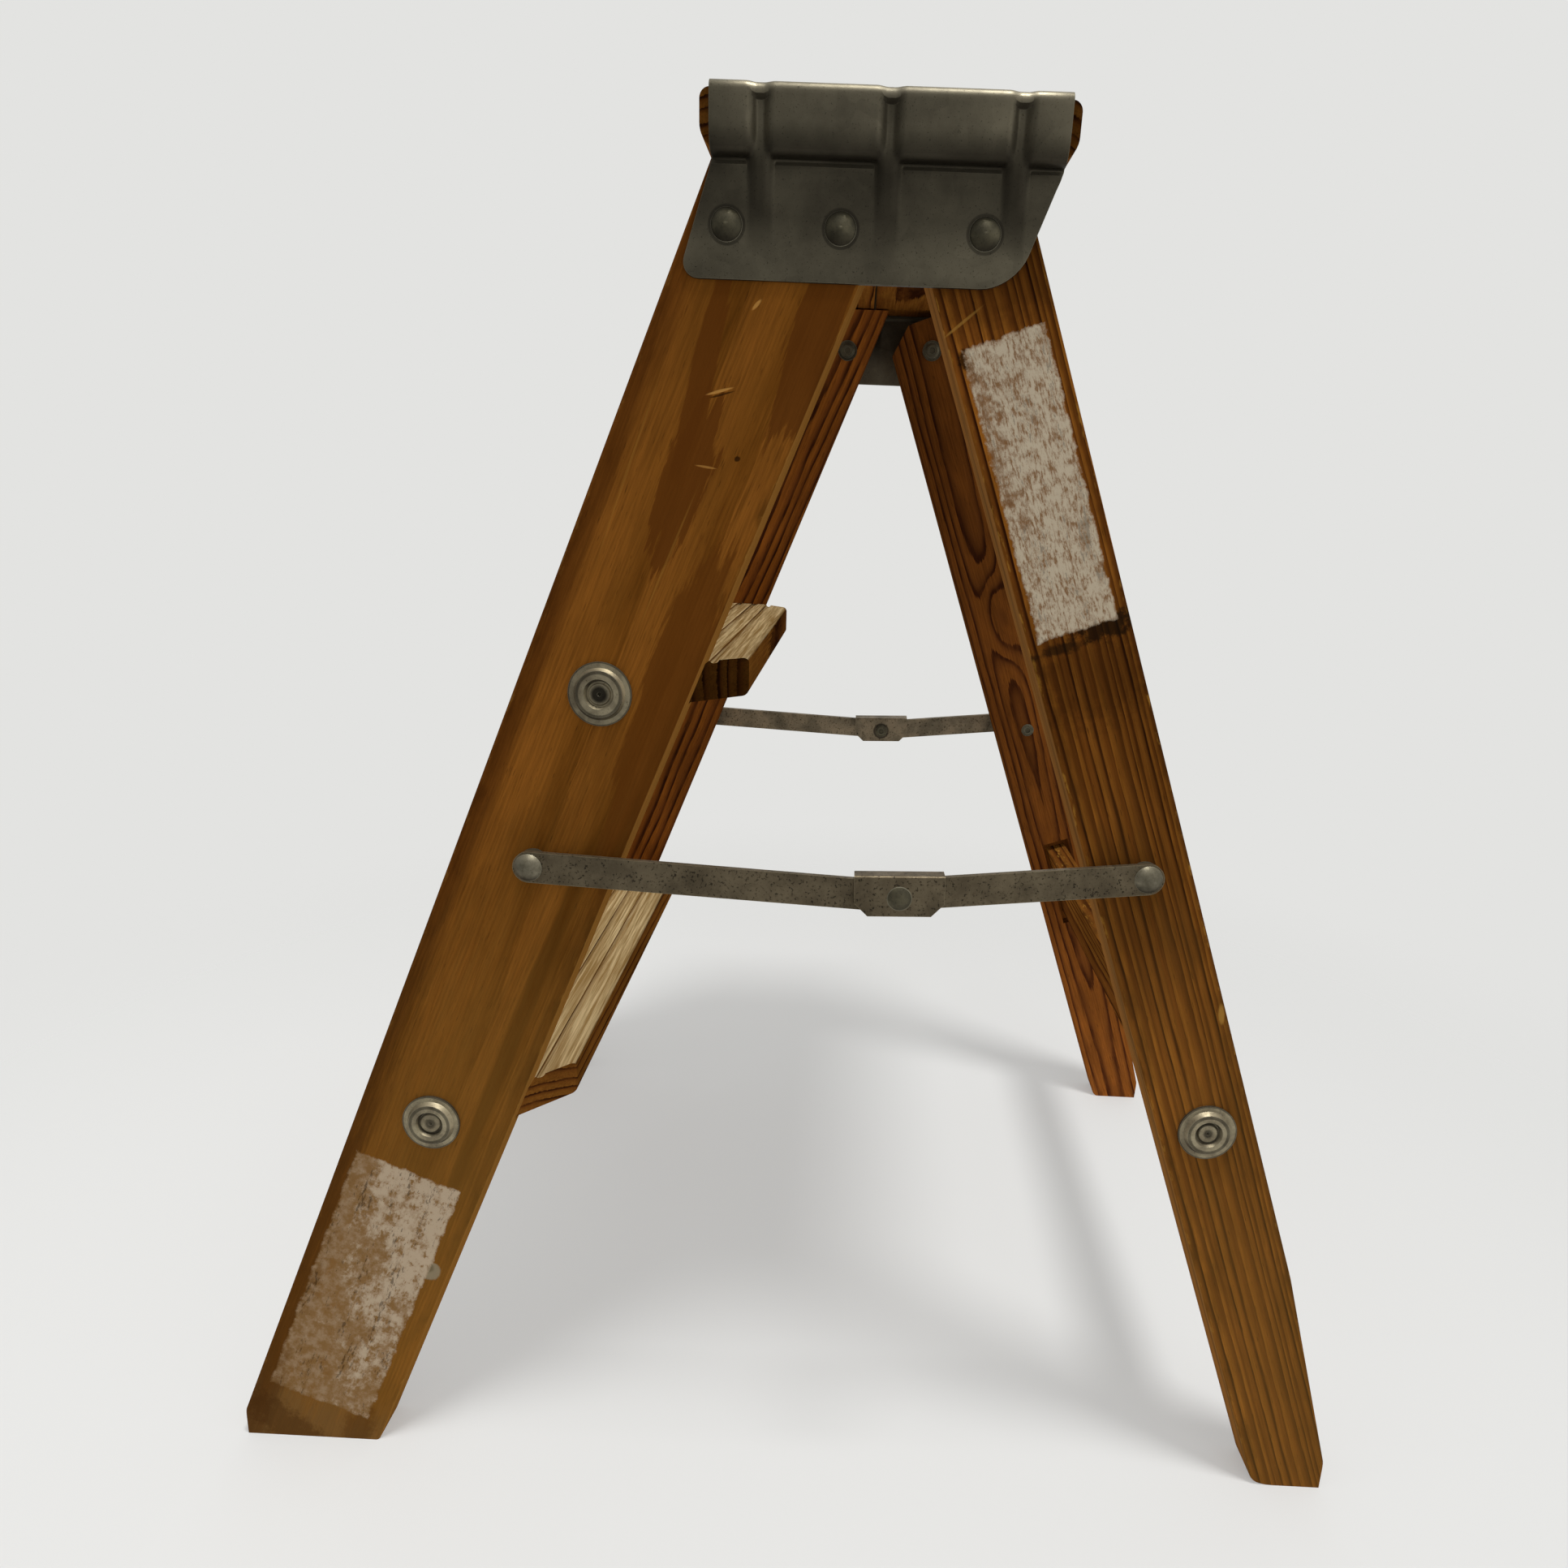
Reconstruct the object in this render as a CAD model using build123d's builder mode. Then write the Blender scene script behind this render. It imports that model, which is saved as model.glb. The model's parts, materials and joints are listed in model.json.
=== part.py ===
from build123d import *
import os
from math import atan2, cos, degrees, hypot, radians, sin, tan

# Folding step stool, open and standing on its four feet, in millimetres and degrees.
# X runs across the stool, the steps face -Y, Z is up, and the origin is the middle of the floor print.

# Overall form
overall_height = 567.0
rail_lean = 22.0
leg_lean = 20.1
side_flare = 3.92
head_half_width = 136.1
rivet_drop = 41.5
pivot_set_back = 70.0

# Front rails and rear legs
rail_width = 63.5
rail_thickness = 19.0
rail_top_gap = 1.0
leg_width = 40.0
leg_thickness = 19.0
leg_pivot_inset = 22.0
leg_gap = 1.5
leg_head_gap = 1.0
leg_head_corner = 25.0
leg_shoulder = 6.5
arris_round = 1.2
largest_round = 0.45
toe_clip = 5.6
heel_trim = 11.3
heel_upright = 15.4
heel_taper_height = 113.0
foot_round = 7.0

# Top boards
board_width = 63.5
board_thickness = 18.5
board_gap = 1.4
board_half_length = 138.2
board_top_round = 3.5
board_bottom_round = 8.0

# Steps
upper_step_height = 372.4
lower_step_height = 183.0
step_depth = 82.5
step_thickness = 16.0
step_setback = 1.3
step_edge_round = 2.5
step_mitre = 23.5
housing_depth = 8.5
housing_clearance = 0.1
flute_pitch = 9.5
flute_radius = 1.8
flute_depth = 1.2
flute_margin = 12.8

# Rods and their cup washers
rod_diameter = 6.35
rod_drop = 11.7
rod_clearance = 0.15
rod_dimple = 0.8
rod_end_radius = 4.4
rod_end_height = 0.9
washer_radius = 12.5
washer_rim_height = 1.1
washer_cup_radius = 10.2
washer_cup_height = 2.9
washer_mouth_radius = 5.0
washer_seat = 0.9

# Rear bar
bar_height = 54.0
bar_thickness = 13.0
bar_level = 184.2
mortise_depth = 8.5
mortise_side_gap = 2.4
mortise_end_gap = 5.5

# Top brackets
sheet = 1.2
bracket_width = 120.6
board_end_gap = 0.1
bracket_flange_length = 25.0
top_bend = 2.0
face_bend = 4.0
neck_bend = 2.0
flange_drop = 58.7
flange_front_reach = 11.5
flange_rear_draw = 13.8
flange_front_round = 6.0
flange_rear_round = 17.0
rib_spacing = 43.7
rib_shift = 0.4
rib_width = 6.6
rib_wall_slope = 25.0
rib_recess = 2.4
rib_top_drop = 3.0
rib_foot_drop = 37.5

# Rivets and nails
rivet_spacing = 39.7
rivet_shank = 3.0
rivet_head_radius = 5.6
rivet_head_height = 2.8
knuckle_head_radius = 5.0
knuckle_head_height = 1.4
burr_radius = 5.6
burr_thickness = 1.0
tail_radius = 4.1
tail_height = 1.0
tail_hole = 1.9
shank_clearance = 0.05
nail_head_radius = 3.4
nail_shank = 1.4
nail_length = 14.0

# Folding stays
stay_front_level = 291.2
stay_rear_level = 297.2
stay_rear_inset = 21.2
knuckle_share = 0.6
knuckle_drop = 8.9
link_width = 12.7
link_thickness = 2.5
layer_gap = 0.3
stay_lift = 2.0
saddle_length = 36.0
saddle_below = 7.5
saddle_corner = 5.3
saddle_sheet = 1.2
saddle_round = 0.95
collar_radius = 6.0
collar_lift = 1.4
spacer_radius = 7.0
spacer_gap = 0.6
pivot_burr_gap = 0.85

# Places worked out from the sizes above
flare = radians(side_flare)
rivet_height = overall_height - rivet_drop
board_top = overall_height - sheet
board_bottom = board_top - board_thickness
rail_half = rail_width / 2 / cos(radians(rail_lean))
leg_back = leg_width - leg_pivot_inset
toe_reach = pivot_set_back / 2 + rivet_height * tan(radians(rail_lean)) + rail_half - toe_clip
heel_reach = pivot_set_back / 2 + rivet_height * tan(radians(leg_lean))
heel_reach += leg_back / cos(radians(leg_lean)) - heel_trim
head_y = (toe_reach - heel_reach) / 2
toe_y = head_y - toe_reach
heel_y = head_y + heel_reach
pivot_y = head_y + pivot_set_back / 2
floor_half_width = head_half_width + rivet_height * tan(flare)
reach = 2 * floor_half_width
side_normal = (cos(flare), 0, sin(flare))
side_plane = Plane(origin=(floor_half_width, 0, 0), x_dir=(0, 1, 0), z_dir=side_normal)
leg_plane = side_plane.offset(-leg_gap)
rod_radius = rod_diameter / 2
shank_hole = rivet_shank + shank_clearance
flange_bottom = overall_height - flange_drop
bracket_face_x = board_half_length + face_bend + board_end_gap


def side_x(z):
    # X of the rails' outer face at a height
    return head_half_width - (z - rivet_height) * tan(flare)


def rail_y(offset, z):
    # Y at a height on a line along the front rail, offset behind its middle
    middle = head_y - pivot_set_back / 2 + (z - rivet_height) * tan(radians(rail_lean))
    return middle + offset / cos(radians(rail_lean))


def leg_y(offset, z):
    # Y at a height on a line along the rear leg, offset behind its front edge
    pivot_line = pivot_y - (z - rivet_height) * tan(radians(leg_lean))
    return pivot_line + (offset - leg_pivot_inset) / cos(radians(leg_lean))


def on_side(y, z):
    # A point of the flared side, in the side plane's own coordinates
    return (y, z / cos(flare))


def spot(y, z, lift=0.0):
    # Plane on the right side at a point, its normal pointing outward
    plane = Plane(origin=(side_x(z), y, z), x_dir=(0, 1, 0), z_dir=side_normal)
    return plane.offset(lift)


def leg_point(across, along):
    # Point of the rear leg's head, measured from the pivot across and along the leg
    lean = radians(leg_lean)
    y = pivot_y + across * cos(lean) - along * sin(lean)
    return on_side(y, rivet_height + across * sin(lean) + along * cos(lean))


def turned(plane, points, arc_from=None, arc_to=None):
    # Solid turned about a plane's normal from (radius, height) points, with an optional crown
    section = Plane(origin=plane.origin, x_dir=plane.x_dir, z_dir=-plane.y_dir)
    with BuildPart() as solid:
        with BuildSketch(section):
            with BuildLine():
                Polyline(*points, close=arc_from is None)
                if arc_from is not None:
                    TangentArc(arc_from, arc_to, tangent=(1, 0))
            make_face()
        revolve(axis=Axis(plane.origin, plane.z_dir))
    return solid.part


def clinched_end(level):
    # Profile of a rivet's spread end, a ring that is open in the middle
    foot = level - tail_height
    points = [(rivet_shank, level), (tail_radius, level), (tail_radius, level - tail_height / 2)]
    return points + [(rivet_shank, foot), (tail_hole, foot), (tail_hole, level), (0, level)]


def clinched_rivet(plane, shank_length, head_radius=rivet_head_radius, head_height=rivet_head_height):
    # Rivet with a domed head above the plane and a clinched ring at the far end
    crown = (0, head_height)
    rim = (head_radius, 0)
    points = [rim, (rivet_shank, 0)] + clinched_end(-shank_length) + [crown]
    return turned(plane, points, crown, rim)


def ring(plane, inner, outer, thickness):
    # Flat ring standing on a plane
    with BuildPart() as solid:
        with BuildSketch(plane):
            Circle(outer)
            Circle(inner, mode=Mode.SUBTRACT)
        extrude(amount=thickness)
    return solid.part


def cup_washer(plane):
    # Pressed washer with a low rim and a raised cup round the rod end
    bore = rod_radius + rod_clearance
    step = washer_cup_radius - washer_rim_height
    lip = washer_mouth_radius + washer_seat
    points = [(bore, 0), (washer_radius, 0), (washer_radius, washer_rim_height)]
    points += [(washer_cup_radius, washer_rim_height), (step, washer_cup_height)]
    points += [(lip, washer_cup_height), (washer_mouth_radius, washer_seat), (bore, washer_seat)]
    return turned(plane, points)


def rod_end(plane):
    # Peened end of a rod, seated in its washer, with a centre dimple
    top = washer_seat + rod_end_height
    points = [(0, washer_seat), (rod_end_radius, washer_seat), (rod_end_radius, top - rod_dimple / 2)]
    points += [(rod_end_radius - rod_dimple / 2, top), (rod_dimple, top), (0, top - rod_dimple)]
    return turned(plane, points)


def cross_rod(y, z, lift):
    # Rod from side to side with a peened end in each washer
    half = side_x(z) + lift + washer_seat + (rod_end_height - rod_dimple) / 2
    with BuildPart() as solid:
        with BuildSketch(Plane.YZ):
            with Locations((y, z)):
                Circle(rod_radius)
        extrude(amount=half)
        add(rod_end(spot(y, z, lift)))
        mirror(about=Plane.YZ)
    return solid


def housing_cutter(place, depth, height, turn, floor_plane):
    # Block across a rail or leg that ends at a housing's sloping floor
    with BuildPart() as solid:
        with BuildSketch(Plane.YZ):
            with Locations(place):
                Rectangle(depth, height, rotation=turn)
        extrude(amount=reach)
        split(bisect_by=floor_plane, keep=Keep.BOTTOM)
    return solid.part


def mirrored(piece):
    # Left-hand copy of a right-hand piece
    with BuildPart() as solid:
        mirror(piece, about=Plane.YZ)
    return solid


def both_sides(pieces):
    # Group of separate solids and their left-hand copies
    with BuildPart() as solid:
        for piece in pieces:
            add(piece)
        mirror(about=Plane.YZ)
    return solid


# Fixing places as (Y, height)
rail_rivets = [(rail_y(0, rivet_height) + side * rivet_spacing / 2, rivet_height) for side in (-1, 1)]
pivot = (pivot_y, rivet_height)
upper_rod_place = (rail_y(0, upper_step_height - rod_drop), upper_step_height - rod_drop)
lower_rod_place = (rail_y(0, lower_step_height - rod_drop), lower_step_height - rod_drop)
rear_rod_place = (leg_y(leg_width / 2, bar_level), bar_level)
stay_front = (rail_y(0, stay_front_level), stay_front_level)
stay_rear = (leg_y(stay_rear_inset, stay_rear_level), stay_rear_level)
span_y = stay_rear[0] - stay_front[0]
span_z = stay_rear[1] - stay_front[1]
span = hypot(span_y, span_z)
knuckle_y = stay_front[0] + knuckle_share * span_y + knuckle_drop * span_z / span
knuckle_z = stay_front[1] + knuckle_share * span_z - knuckle_drop * span_y / span
knuckle = (knuckle_y, knuckle_z)

# Layers of the stay, as lifts above the rails' outer face
rear_link_lift = stay_lift
front_link_lift = rear_link_lift + link_thickness + layer_gap
saddle_outer_lift = front_link_lift + link_thickness + layer_gap
saddle_inner_lift = rear_link_lift - layer_gap - saddle_sheet
saddle_top_lift = saddle_outer_lift + saddle_sheet

# Top boards
board_centre = (board_width + board_gap) / 2
top_boards = {}
for label, side in (("top_board_front", -1), ("top_board_rear", 1)):
    with BuildPart() as top_board:
        with BuildSketch(Plane.YZ):
            with Locations((head_y + side * board_centre, board_top - board_thickness / 2)):
                Rectangle(board_width, board_thickness)
        extrude(amount=board_half_length, both=True)
        outer_edges = top_board.edges().filter_by(Axis.X).group_by(Axis.Y)[0 if side < 0 else -1]
        upper_edge = outer_edges.sort_by(Axis.Z)[-1]
        lower_edge = outer_edges.sort_by(Axis.Z)[0]
        fillet(lower_edge, radius=min(board_bottom_round, largest_round * board_thickness))
        fillet(upper_edge, radius=min(board_top_round, largest_round * board_thickness))
        nail_x = board_half_length - bracket_flange_length / 2
        with Locations(*[(x, head_y + side * board_centre, board_top) for x in (-nail_x, nail_x)]):
            Cylinder(nail_shank, 2 * nail_length, mode=Mode.SUBTRACT)
    top_boards[label] = top_board

# Steps, housed in the rails, with fluted tops and a groove for the rod below
housing_floor = housing_depth - rail_thickness
step_end = side_plane.offset(housing_floor - housing_clearance)
left_step_end = Plane(origin=(-step_end.origin.X, 0, step_end.origin.Z), x_dir=(0, 1, 0),
                      z_dir=(-cos(flare), 0, sin(flare)))
steps = {}
for label, top, rod_place in (("upper_step", upper_step_height, upper_rod_place),
                              ("lower_step", lower_step_height, lower_rod_place)):
    front = rail_y(-rail_width / 2, top) + step_setback
    rear = front + step_depth
    flute_count = int((step_depth - 2 * flute_margin) / flute_pitch) + 1
    flute_places = [(rear - flute_margin - flute_pitch * index, top + flute_radius - flute_depth)
                    for index in range(flute_count)]
    groove_depth = rod_place[1] - (top - step_thickness)
    groove_half = rod_radius + rod_clearance
    corner_x = side_x(top) + housing_floor
    with BuildPart() as step:
        with BuildSketch(Plane.YZ):
            with Locations((front + step_depth / 2, top - step_thickness / 2)):
                Rectangle(step_depth, step_thickness)
        extrude(amount=reach, both=True)
        long_edges = step.edges().filter_by(Axis.X)
        fillet(long_edges.group_by(Axis.Y)[0] + long_edges.group_by(Axis.Y)[-1],
               radius=min(step_edge_round, largest_round * step_thickness))
        with BuildSketch(Plane.YZ):
            with Locations(*flute_places):
                Circle(flute_radius)
            with Locations(rod_place):
                Circle(groove_half)
            with Locations((rod_place[0], rod_place[1] - groove_depth)):
                Rectangle(2 * groove_half, 2 * groove_depth)
        extrude(amount=reach, both=True, mode=Mode.SUBTRACT)
        split(bisect_by=step_end, keep=Keep.BOTTOM)
        split(bisect_by=left_step_end, keep=Keep.BOTTOM)
        with BuildSketch(Plane.XY.offset(top - 2 * step_thickness)):
            for side in (-1, 1):
                with BuildLine():
                    inner = (side * (corner_x - step_mitre), rear)
                    outer = (side * (corner_x + step_mitre), rear - 2 * step_mitre)
                    Polyline(inner, outer, (outer[0], rear + step_mitre),
                             (inner[0], rear + step_mitre), close=True)
                make_face()
        extrude(amount=3 * step_thickness, mode=Mode.SUBTRACT)
    steps[label] = step

# Front rails
rail_top = board_bottom - rail_top_gap
rail_spare = rail_top + rail_thickness
with BuildPart() as front_rail_right:
    with BuildSketch(side_plane):
        with BuildLine():
            clip_height = toe_clip / tan(radians(rail_lean))
            Polyline(on_side(toe_y, 0), on_side(toe_y, clip_height),
                     on_side(rail_y(-rail_width / 2, rail_spare), rail_spare),
                     on_side(rail_y(rail_width / 2, rail_spare), rail_spare),
                     on_side(rail_y(rail_width / 2, 0), 0), close=True)
        make_face()
    extrude(amount=-rail_thickness)
    split(bisect_by=Plane.XY, keep=Keep.TOP)
    split(bisect_by=Plane.XY.offset(rail_top), keep=Keep.BOTTOM)
    fillet(front_rail_right.edges().sort_by(SortBy.LENGTH)[-4:], radius=arris_round)
    for top in (upper_step_height, lower_step_height):
        add(housing_cutter((rail_y(0, top), top - step_thickness / 2), 3 * rail_width,
                           step_thickness + 2 * housing_clearance, 0, side_plane.offset(housing_floor)),
            mode=Mode.SUBTRACT)
    with BuildSketch(Plane.YZ):
        with Locations(upper_rod_place, lower_rod_place):
            Circle(rod_radius + rod_clearance)
    extrude(amount=reach, mode=Mode.SUBTRACT)
    with BuildSketch(side_plane):
        with Locations(*[on_side(*place) for place in rail_rivets + [stay_front]]):
            Circle(shank_hole)
    extrude(amount=rail_thickness, both=True, mode=Mode.SUBTRACT)
front_rail_left = mirrored(front_rail_right.part)

# Rear legs, clipped at the head to swing under the top and trimmed at the heel
head_radius = board_bottom - rivet_height - leg_head_gap
head_half = head_radius * sin(radians(leg_head_corner))
head_rise = head_radius * cos(radians(leg_head_corner))
with BuildPart() as rear_leg_right:
    with BuildSketch(leg_plane) as leg_outline:
        with BuildLine():
            Polyline(on_side(leg_y(0, 0), 0), leg_point(-leg_pivot_inset, leg_shoulder),
                     leg_point(-head_half, head_rise), leg_point(head_half, head_rise),
                     leg_point(leg_back, leg_shoulder),
                     on_side(leg_y(leg_width, heel_taper_height), heel_taper_height),
                     on_side(heel_y, heel_upright), on_side(heel_y, 0), close=True)
        make_face()
        toe_corner = leg_outline.vertices().group_by(Axis.Y)[0].sort_by(Axis.X)[0]
        fillet(toe_corner, radius=foot_round)
    extrude(amount=-leg_thickness)
    split(bisect_by=Plane.XY, keep=Keep.TOP)
    fillet(rear_leg_right.edges().sort_by(SortBy.LENGTH)[-4:], radius=arris_round)
    add(housing_cutter(rear_rod_place, bar_thickness + 2 * mortise_side_gap, bar_height + 2 * mortise_end_gap,
                       leg_lean, leg_plane.offset(mortise_depth - leg_thickness)), mode=Mode.SUBTRACT)
    with BuildSketch(Plane.YZ):
        with Locations(rear_rod_place):
            Circle(rod_radius + rod_clearance)
        with Locations(pivot):
            Circle(shank_hole)
    extrude(amount=reach, mode=Mode.SUBTRACT)
    with BuildSketch(leg_plane):
        with Locations(on_side(*stay_rear)):
            Circle(shank_hole)
    extrude(amount=-2 * leg_thickness, mode=Mode.SUBTRACT)
rear_leg_left = mirrored(rear_leg_right.part)

# Rear bar between the legs, with a groove in its back for the rod
bar_end = leg_plane.offset(mortise_depth - leg_thickness - housing_clearance)
left_bar_end = Plane(origin=(-bar_end.origin.X, 0, bar_end.origin.Z), x_dir=(0, 1, 0),
                     z_dir=(-cos(flare), 0, sin(flare)))
with BuildPart() as rear_bar:
    with BuildSketch(Plane.YZ):
        with Locations(rear_rod_place):
            Rectangle(bar_thickness, bar_height, rotation=leg_lean)
    extrude(amount=reach, both=True)
    fillet(rear_bar.edges().filter_by(Axis.X), radius=arris_round)
    with BuildSketch(Plane.YZ):
        with Locations(Location((*rear_rod_place, 0), (0, 0, leg_lean))):
            Circle(rod_radius + rod_clearance)
            with Locations((bar_thickness / 2, 0)):
                Rectangle(bar_thickness, 2 * (rod_radius + rod_clearance))
    extrude(amount=reach, both=True, mode=Mode.SUBTRACT)
    split(bisect_by=bar_end, keep=Keep.BOTTOM)
    split(bisect_by=left_bar_end, keep=Keep.BOTTOM)

# Top brackets: one pressed sheet over the board ends, under them and down the rails
bracket_half = bracket_width / 2
sheet_depth = bracket_half + 2 * flange_front_reach
flange_spare = flange_front_round
rib_face_x = bracket_face_x + sheet - rib_recess
rib_top = overall_height - rib_top_drop
rib_foot = overall_height - rib_foot_drop
with BuildPart() as top_bracket_right:
    with BuildSketch(Plane.XZ.offset(-head_y)):
        with BuildLine():
            FilletPolyline((board_half_length - bracket_flange_length, board_top),
                           (bracket_face_x, board_top), (bracket_face_x, board_bottom),
                           (side_x(board_bottom), board_bottom),
                           (side_x(flange_bottom - flange_spare), flange_bottom - flange_spare),
                           radius=[top_bend, face_bend, neck_bend])
            offset(amount=sheet, side=Side.LEFT)
        make_face()
    extrude(amount=sheet_depth, both=True)
    with BuildSketch(Plane.YZ) as flange_outline:
        with BuildLine():
            Polyline((head_y - bracket_half, board_bottom - sheet),
                     (head_y - bracket_half - flange_front_reach, flange_bottom),
                     (head_y + bracket_half - flange_rear_draw, flange_bottom),
                     (head_y + bracket_half, board_bottom - sheet),
                     (head_y + bracket_half, overall_height + sheet),
                     (head_y - bracket_half, overall_height + sheet), close=True)
        make_face()
        fillet(flange_outline.vertices().group_by(Axis.Y)[0].sort_by(Axis.X)[0],
               radius=flange_front_round)
        fillet(flange_outline.vertices().group_by(Axis.Y)[0].sort_by(Axis.X)[-1],
               radius=flange_rear_round)
    extrude(amount=reach, mode=Mode.INTERSECT)
    rib_places = [head_y + rib_shift + rib_spacing * index for index in (-1, 0, 1)]
    rib_rise = rib_top - board_bottom + face_bend
    wall_rise = rib_top - board_bottom - face_bend / 2
    for rib_y in rib_places:
        with BuildSketch(Plane.YZ.offset(rib_face_x - sheet)):
            with Locations((rib_y, rib_top - wall_rise / 2)):
                Rectangle(rib_width + 2 * sheet, wall_rise)
        extrude(amount=rib_recess)
        with BuildSketch(Plane.YZ.offset(rib_face_x)):
            with Locations((rib_y, rib_top - rib_rise / 2)):
                Rectangle(rib_width, rib_rise)
        extrude(amount=2 * rib_recess, taper=-rib_wall_slope, mode=Mode.SUBTRACT)
        with BuildSketch(Plane.XZ.offset(-rib_y)):
            with BuildLine():
                Polyline((bracket_face_x + sheet, rib_top + sheet), (rib_face_x, rib_top - sheet),
                         (rib_face_x, board_bottom), (side_x(rib_foot) + sheet, rib_foot),
                         (side_x(rib_foot) + sheet / 2, rib_foot),
                         (side_x(board_bottom) + sheet / 2, board_bottom - sheet / 2),
                         (rib_face_x - sheet, board_bottom - sheet / 2),
                         (rib_face_x - sheet, rib_top), (bracket_face_x - sheet, board_top + sheet / 2),
                         (bracket_face_x, board_top + sheet / 2), close=True)
            make_face()
        extrude(amount=rib_width / 2, both=True)
    with BuildSketch(side_plane):
        with Locations(*[on_side(*place) for place in rail_rivets]):
            Circle(shank_hole)
    extrude(amount=2 * rivet_head_height, both=True, mode=Mode.SUBTRACT)
    with BuildSketch(Plane.YZ):
        with Locations(pivot):
            Circle(shank_hole + sheet * tan(flare))
    extrude(amount=reach, mode=Mode.SUBTRACT)
    with Locations(*[(nail_x, head_y + side * board_centre, board_top) for side in (-1, 1)]):
        Cylinder(nail_head_radius + shank_clearance, 4 * sheet, mode=Mode.SUBTRACT)
top_bracket_left = mirrored(top_bracket_right.part)

# Nails through the brackets' top flanges, heads flush
nail_profile = [(0, sheet), (nail_head_radius, sheet), (nail_head_radius, 0), (nail_shank, 0)]
nail_profile += [(nail_shank, nail_shank - nail_length), (0, -nail_length)]
top_nails = both_sides([turned(Plane((nail_x, head_y + side * board_centre, board_top)), nail_profile)
                        for side in (-1, 1)])

# Bracket rivets through the rails, with a burr and a clinched ring inside
bracket_rivets = both_sides([clinched_rivet(spot(*place, sheet), sheet + rail_thickness + burr_thickness)
                             for place in rail_rivets])
bracket_rivet_burrs = both_sides([ring(spot(*place, -rail_thickness - burr_thickness), shank_hole,
                                       burr_radius, burr_thickness) for place in rail_rivets])

# Leg pivots: the head lies on the bracket and the shank runs straight across through the leg
pivot_inside = side_x(rivet_height) - (leg_gap + leg_thickness) / cos(flare) - pivot_burr_gap
pivot_outside = side_x(rivet_height) + (sheet + rivet_head_height / 3) / cos(flare)
pivot_length = pivot_outside - pivot_inside + burr_thickness
pivot_plane = Plane(origin=(pivot_outside, *pivot), x_dir=(0, 1, 0), z_dir=(1, 0, 0))
pivot_crown = (0, rivet_head_height)
pivot_rim = (rivet_head_radius, 0)
with BuildPart() as pivot_rivet:
    add(turned(pivot_plane, [(0, 0), (rivet_shank, 0)] + clinched_end(-pivot_length)))
    add(turned(spot(*pivot, sheet), [pivot_rim, (0, 0), pivot_crown], pivot_crown, pivot_rim))
leg_pivot_rivets = both_sides([pivot_rivet.part])
burr_plane = Plane(origin=(pivot_inside - burr_thickness, *pivot), x_dir=(0, 1, 0), z_dir=(1, 0, 0))
leg_pivot_burrs = both_sides([ring(burr_plane, shank_hole, burr_radius, burr_thickness)])
spacer_thickness = leg_gap - spacer_gap
spacer_bore = shank_hole + spacer_thickness * tan(flare)
leg_pivot_spacers = both_sides([ring(spot(*pivot, -spacer_thickness), spacer_bore, spacer_radius,
                                     spacer_thickness)])

# Rods and washers
upper_step_rod = cross_rod(*upper_rod_place, 0)
lower_step_rod = cross_rod(*lower_rod_place, 0)
rear_rod = cross_rod(*rear_rod_place, -leg_gap)
step_rod_washers = both_sides([cup_washer(spot(*place)) for place in (upper_rod_place, lower_rod_place)])
rear_rod_washers = both_sides([cup_washer(spot(*rear_rod_place, -leg_gap))])


def link(start, end, lift):
    # Flat link with round ends and a hole at each end
    middle = on_side((start[0] + end[0]) / 2, (start[1] + end[1]) / 2)
    low = on_side(*start)
    high = on_side(*end)
    length = hypot(high[0] - low[0], high[1] - low[1])
    with BuildPart() as solid:
        with BuildSketch(side_plane.offset(lift)):
            with Locations(middle):
                SlotCenterToCenter(length, link_width, degrees(atan2(high[1] - low[1], high[0] - low[0])))
            with Locations(low, high):
                Circle(shank_hole, mode=Mode.SUBTRACT)
        extrude(amount=link_thickness)
    return solid


# Folding stays of the right side
front_link_right = link(stay_front, knuckle, front_link_lift)
rear_link_right = link(knuckle, stay_rear, rear_link_lift)
front_angle = atan2(stay_front[1] - knuckle[1], knuckle[0] - stay_front[0])
rear_angle = atan2(stay_rear[1] - knuckle[1], stay_rear[0] - knuckle[0])
saddle_tilt = (rear_angle - front_angle) / 2
saddle_half_angle = (rear_angle + front_angle) / 2
web_height = link_width / 2 / cos(saddle_half_angle) + saddle_length / 2 * tan(saddle_half_angle) + layer_gap
saddle_rise = web_height + saddle_sheet
saddle_place = Location((*on_side(*knuckle), 0), (0, 0, degrees(saddle_tilt)))
saddle_half = saddle_length / 2
with BuildPart() as knuckle_saddle_right:
    with BuildSketch(side_plane.offset(saddle_inner_lift)):
        with Locations(saddle_place):
            Polygon((-saddle_half, saddle_rise), (-saddle_half, saddle_corner - saddle_below),
                    (saddle_corner - saddle_half, -saddle_below),
                    (saddle_half - saddle_corner, -saddle_below),
                    (saddle_half, saddle_corner - saddle_below), (saddle_half, saddle_rise), align=None)
    extrude(amount=saddle_top_lift - saddle_inner_lift)
    web_edges = knuckle_saddle_right.edges().group_by(SortBy.LENGTH)[-1].sort_by(Axis.Z)[-2:]
    fillet(web_edges, radius=saddle_round)
    with BuildSketch(side_plane.offset(saddle_inner_lift + saddle_sheet)):
        with Locations(saddle_place):
            with Locations((0, web_height - saddle_length)):
                Rectangle(2 * saddle_length, 2 * saddle_length)
    extrude(amount=saddle_outer_lift - saddle_inner_lift - saddle_sheet, mode=Mode.SUBTRACT)
    with BuildSketch(side_plane.offset(saddle_inner_lift)):
        with Locations(on_side(*knuckle)):
            Circle(shank_hole)
    extrude(amount=saddle_top_lift - saddle_inner_lift, mode=Mode.SUBTRACT)

with BuildPart() as knuckle_rivet_right:
    add(clinched_rivet(spot(*knuckle, saddle_top_lift), saddle_top_lift - saddle_inner_lift,
                       knuckle_head_radius, knuckle_head_height))

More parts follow.
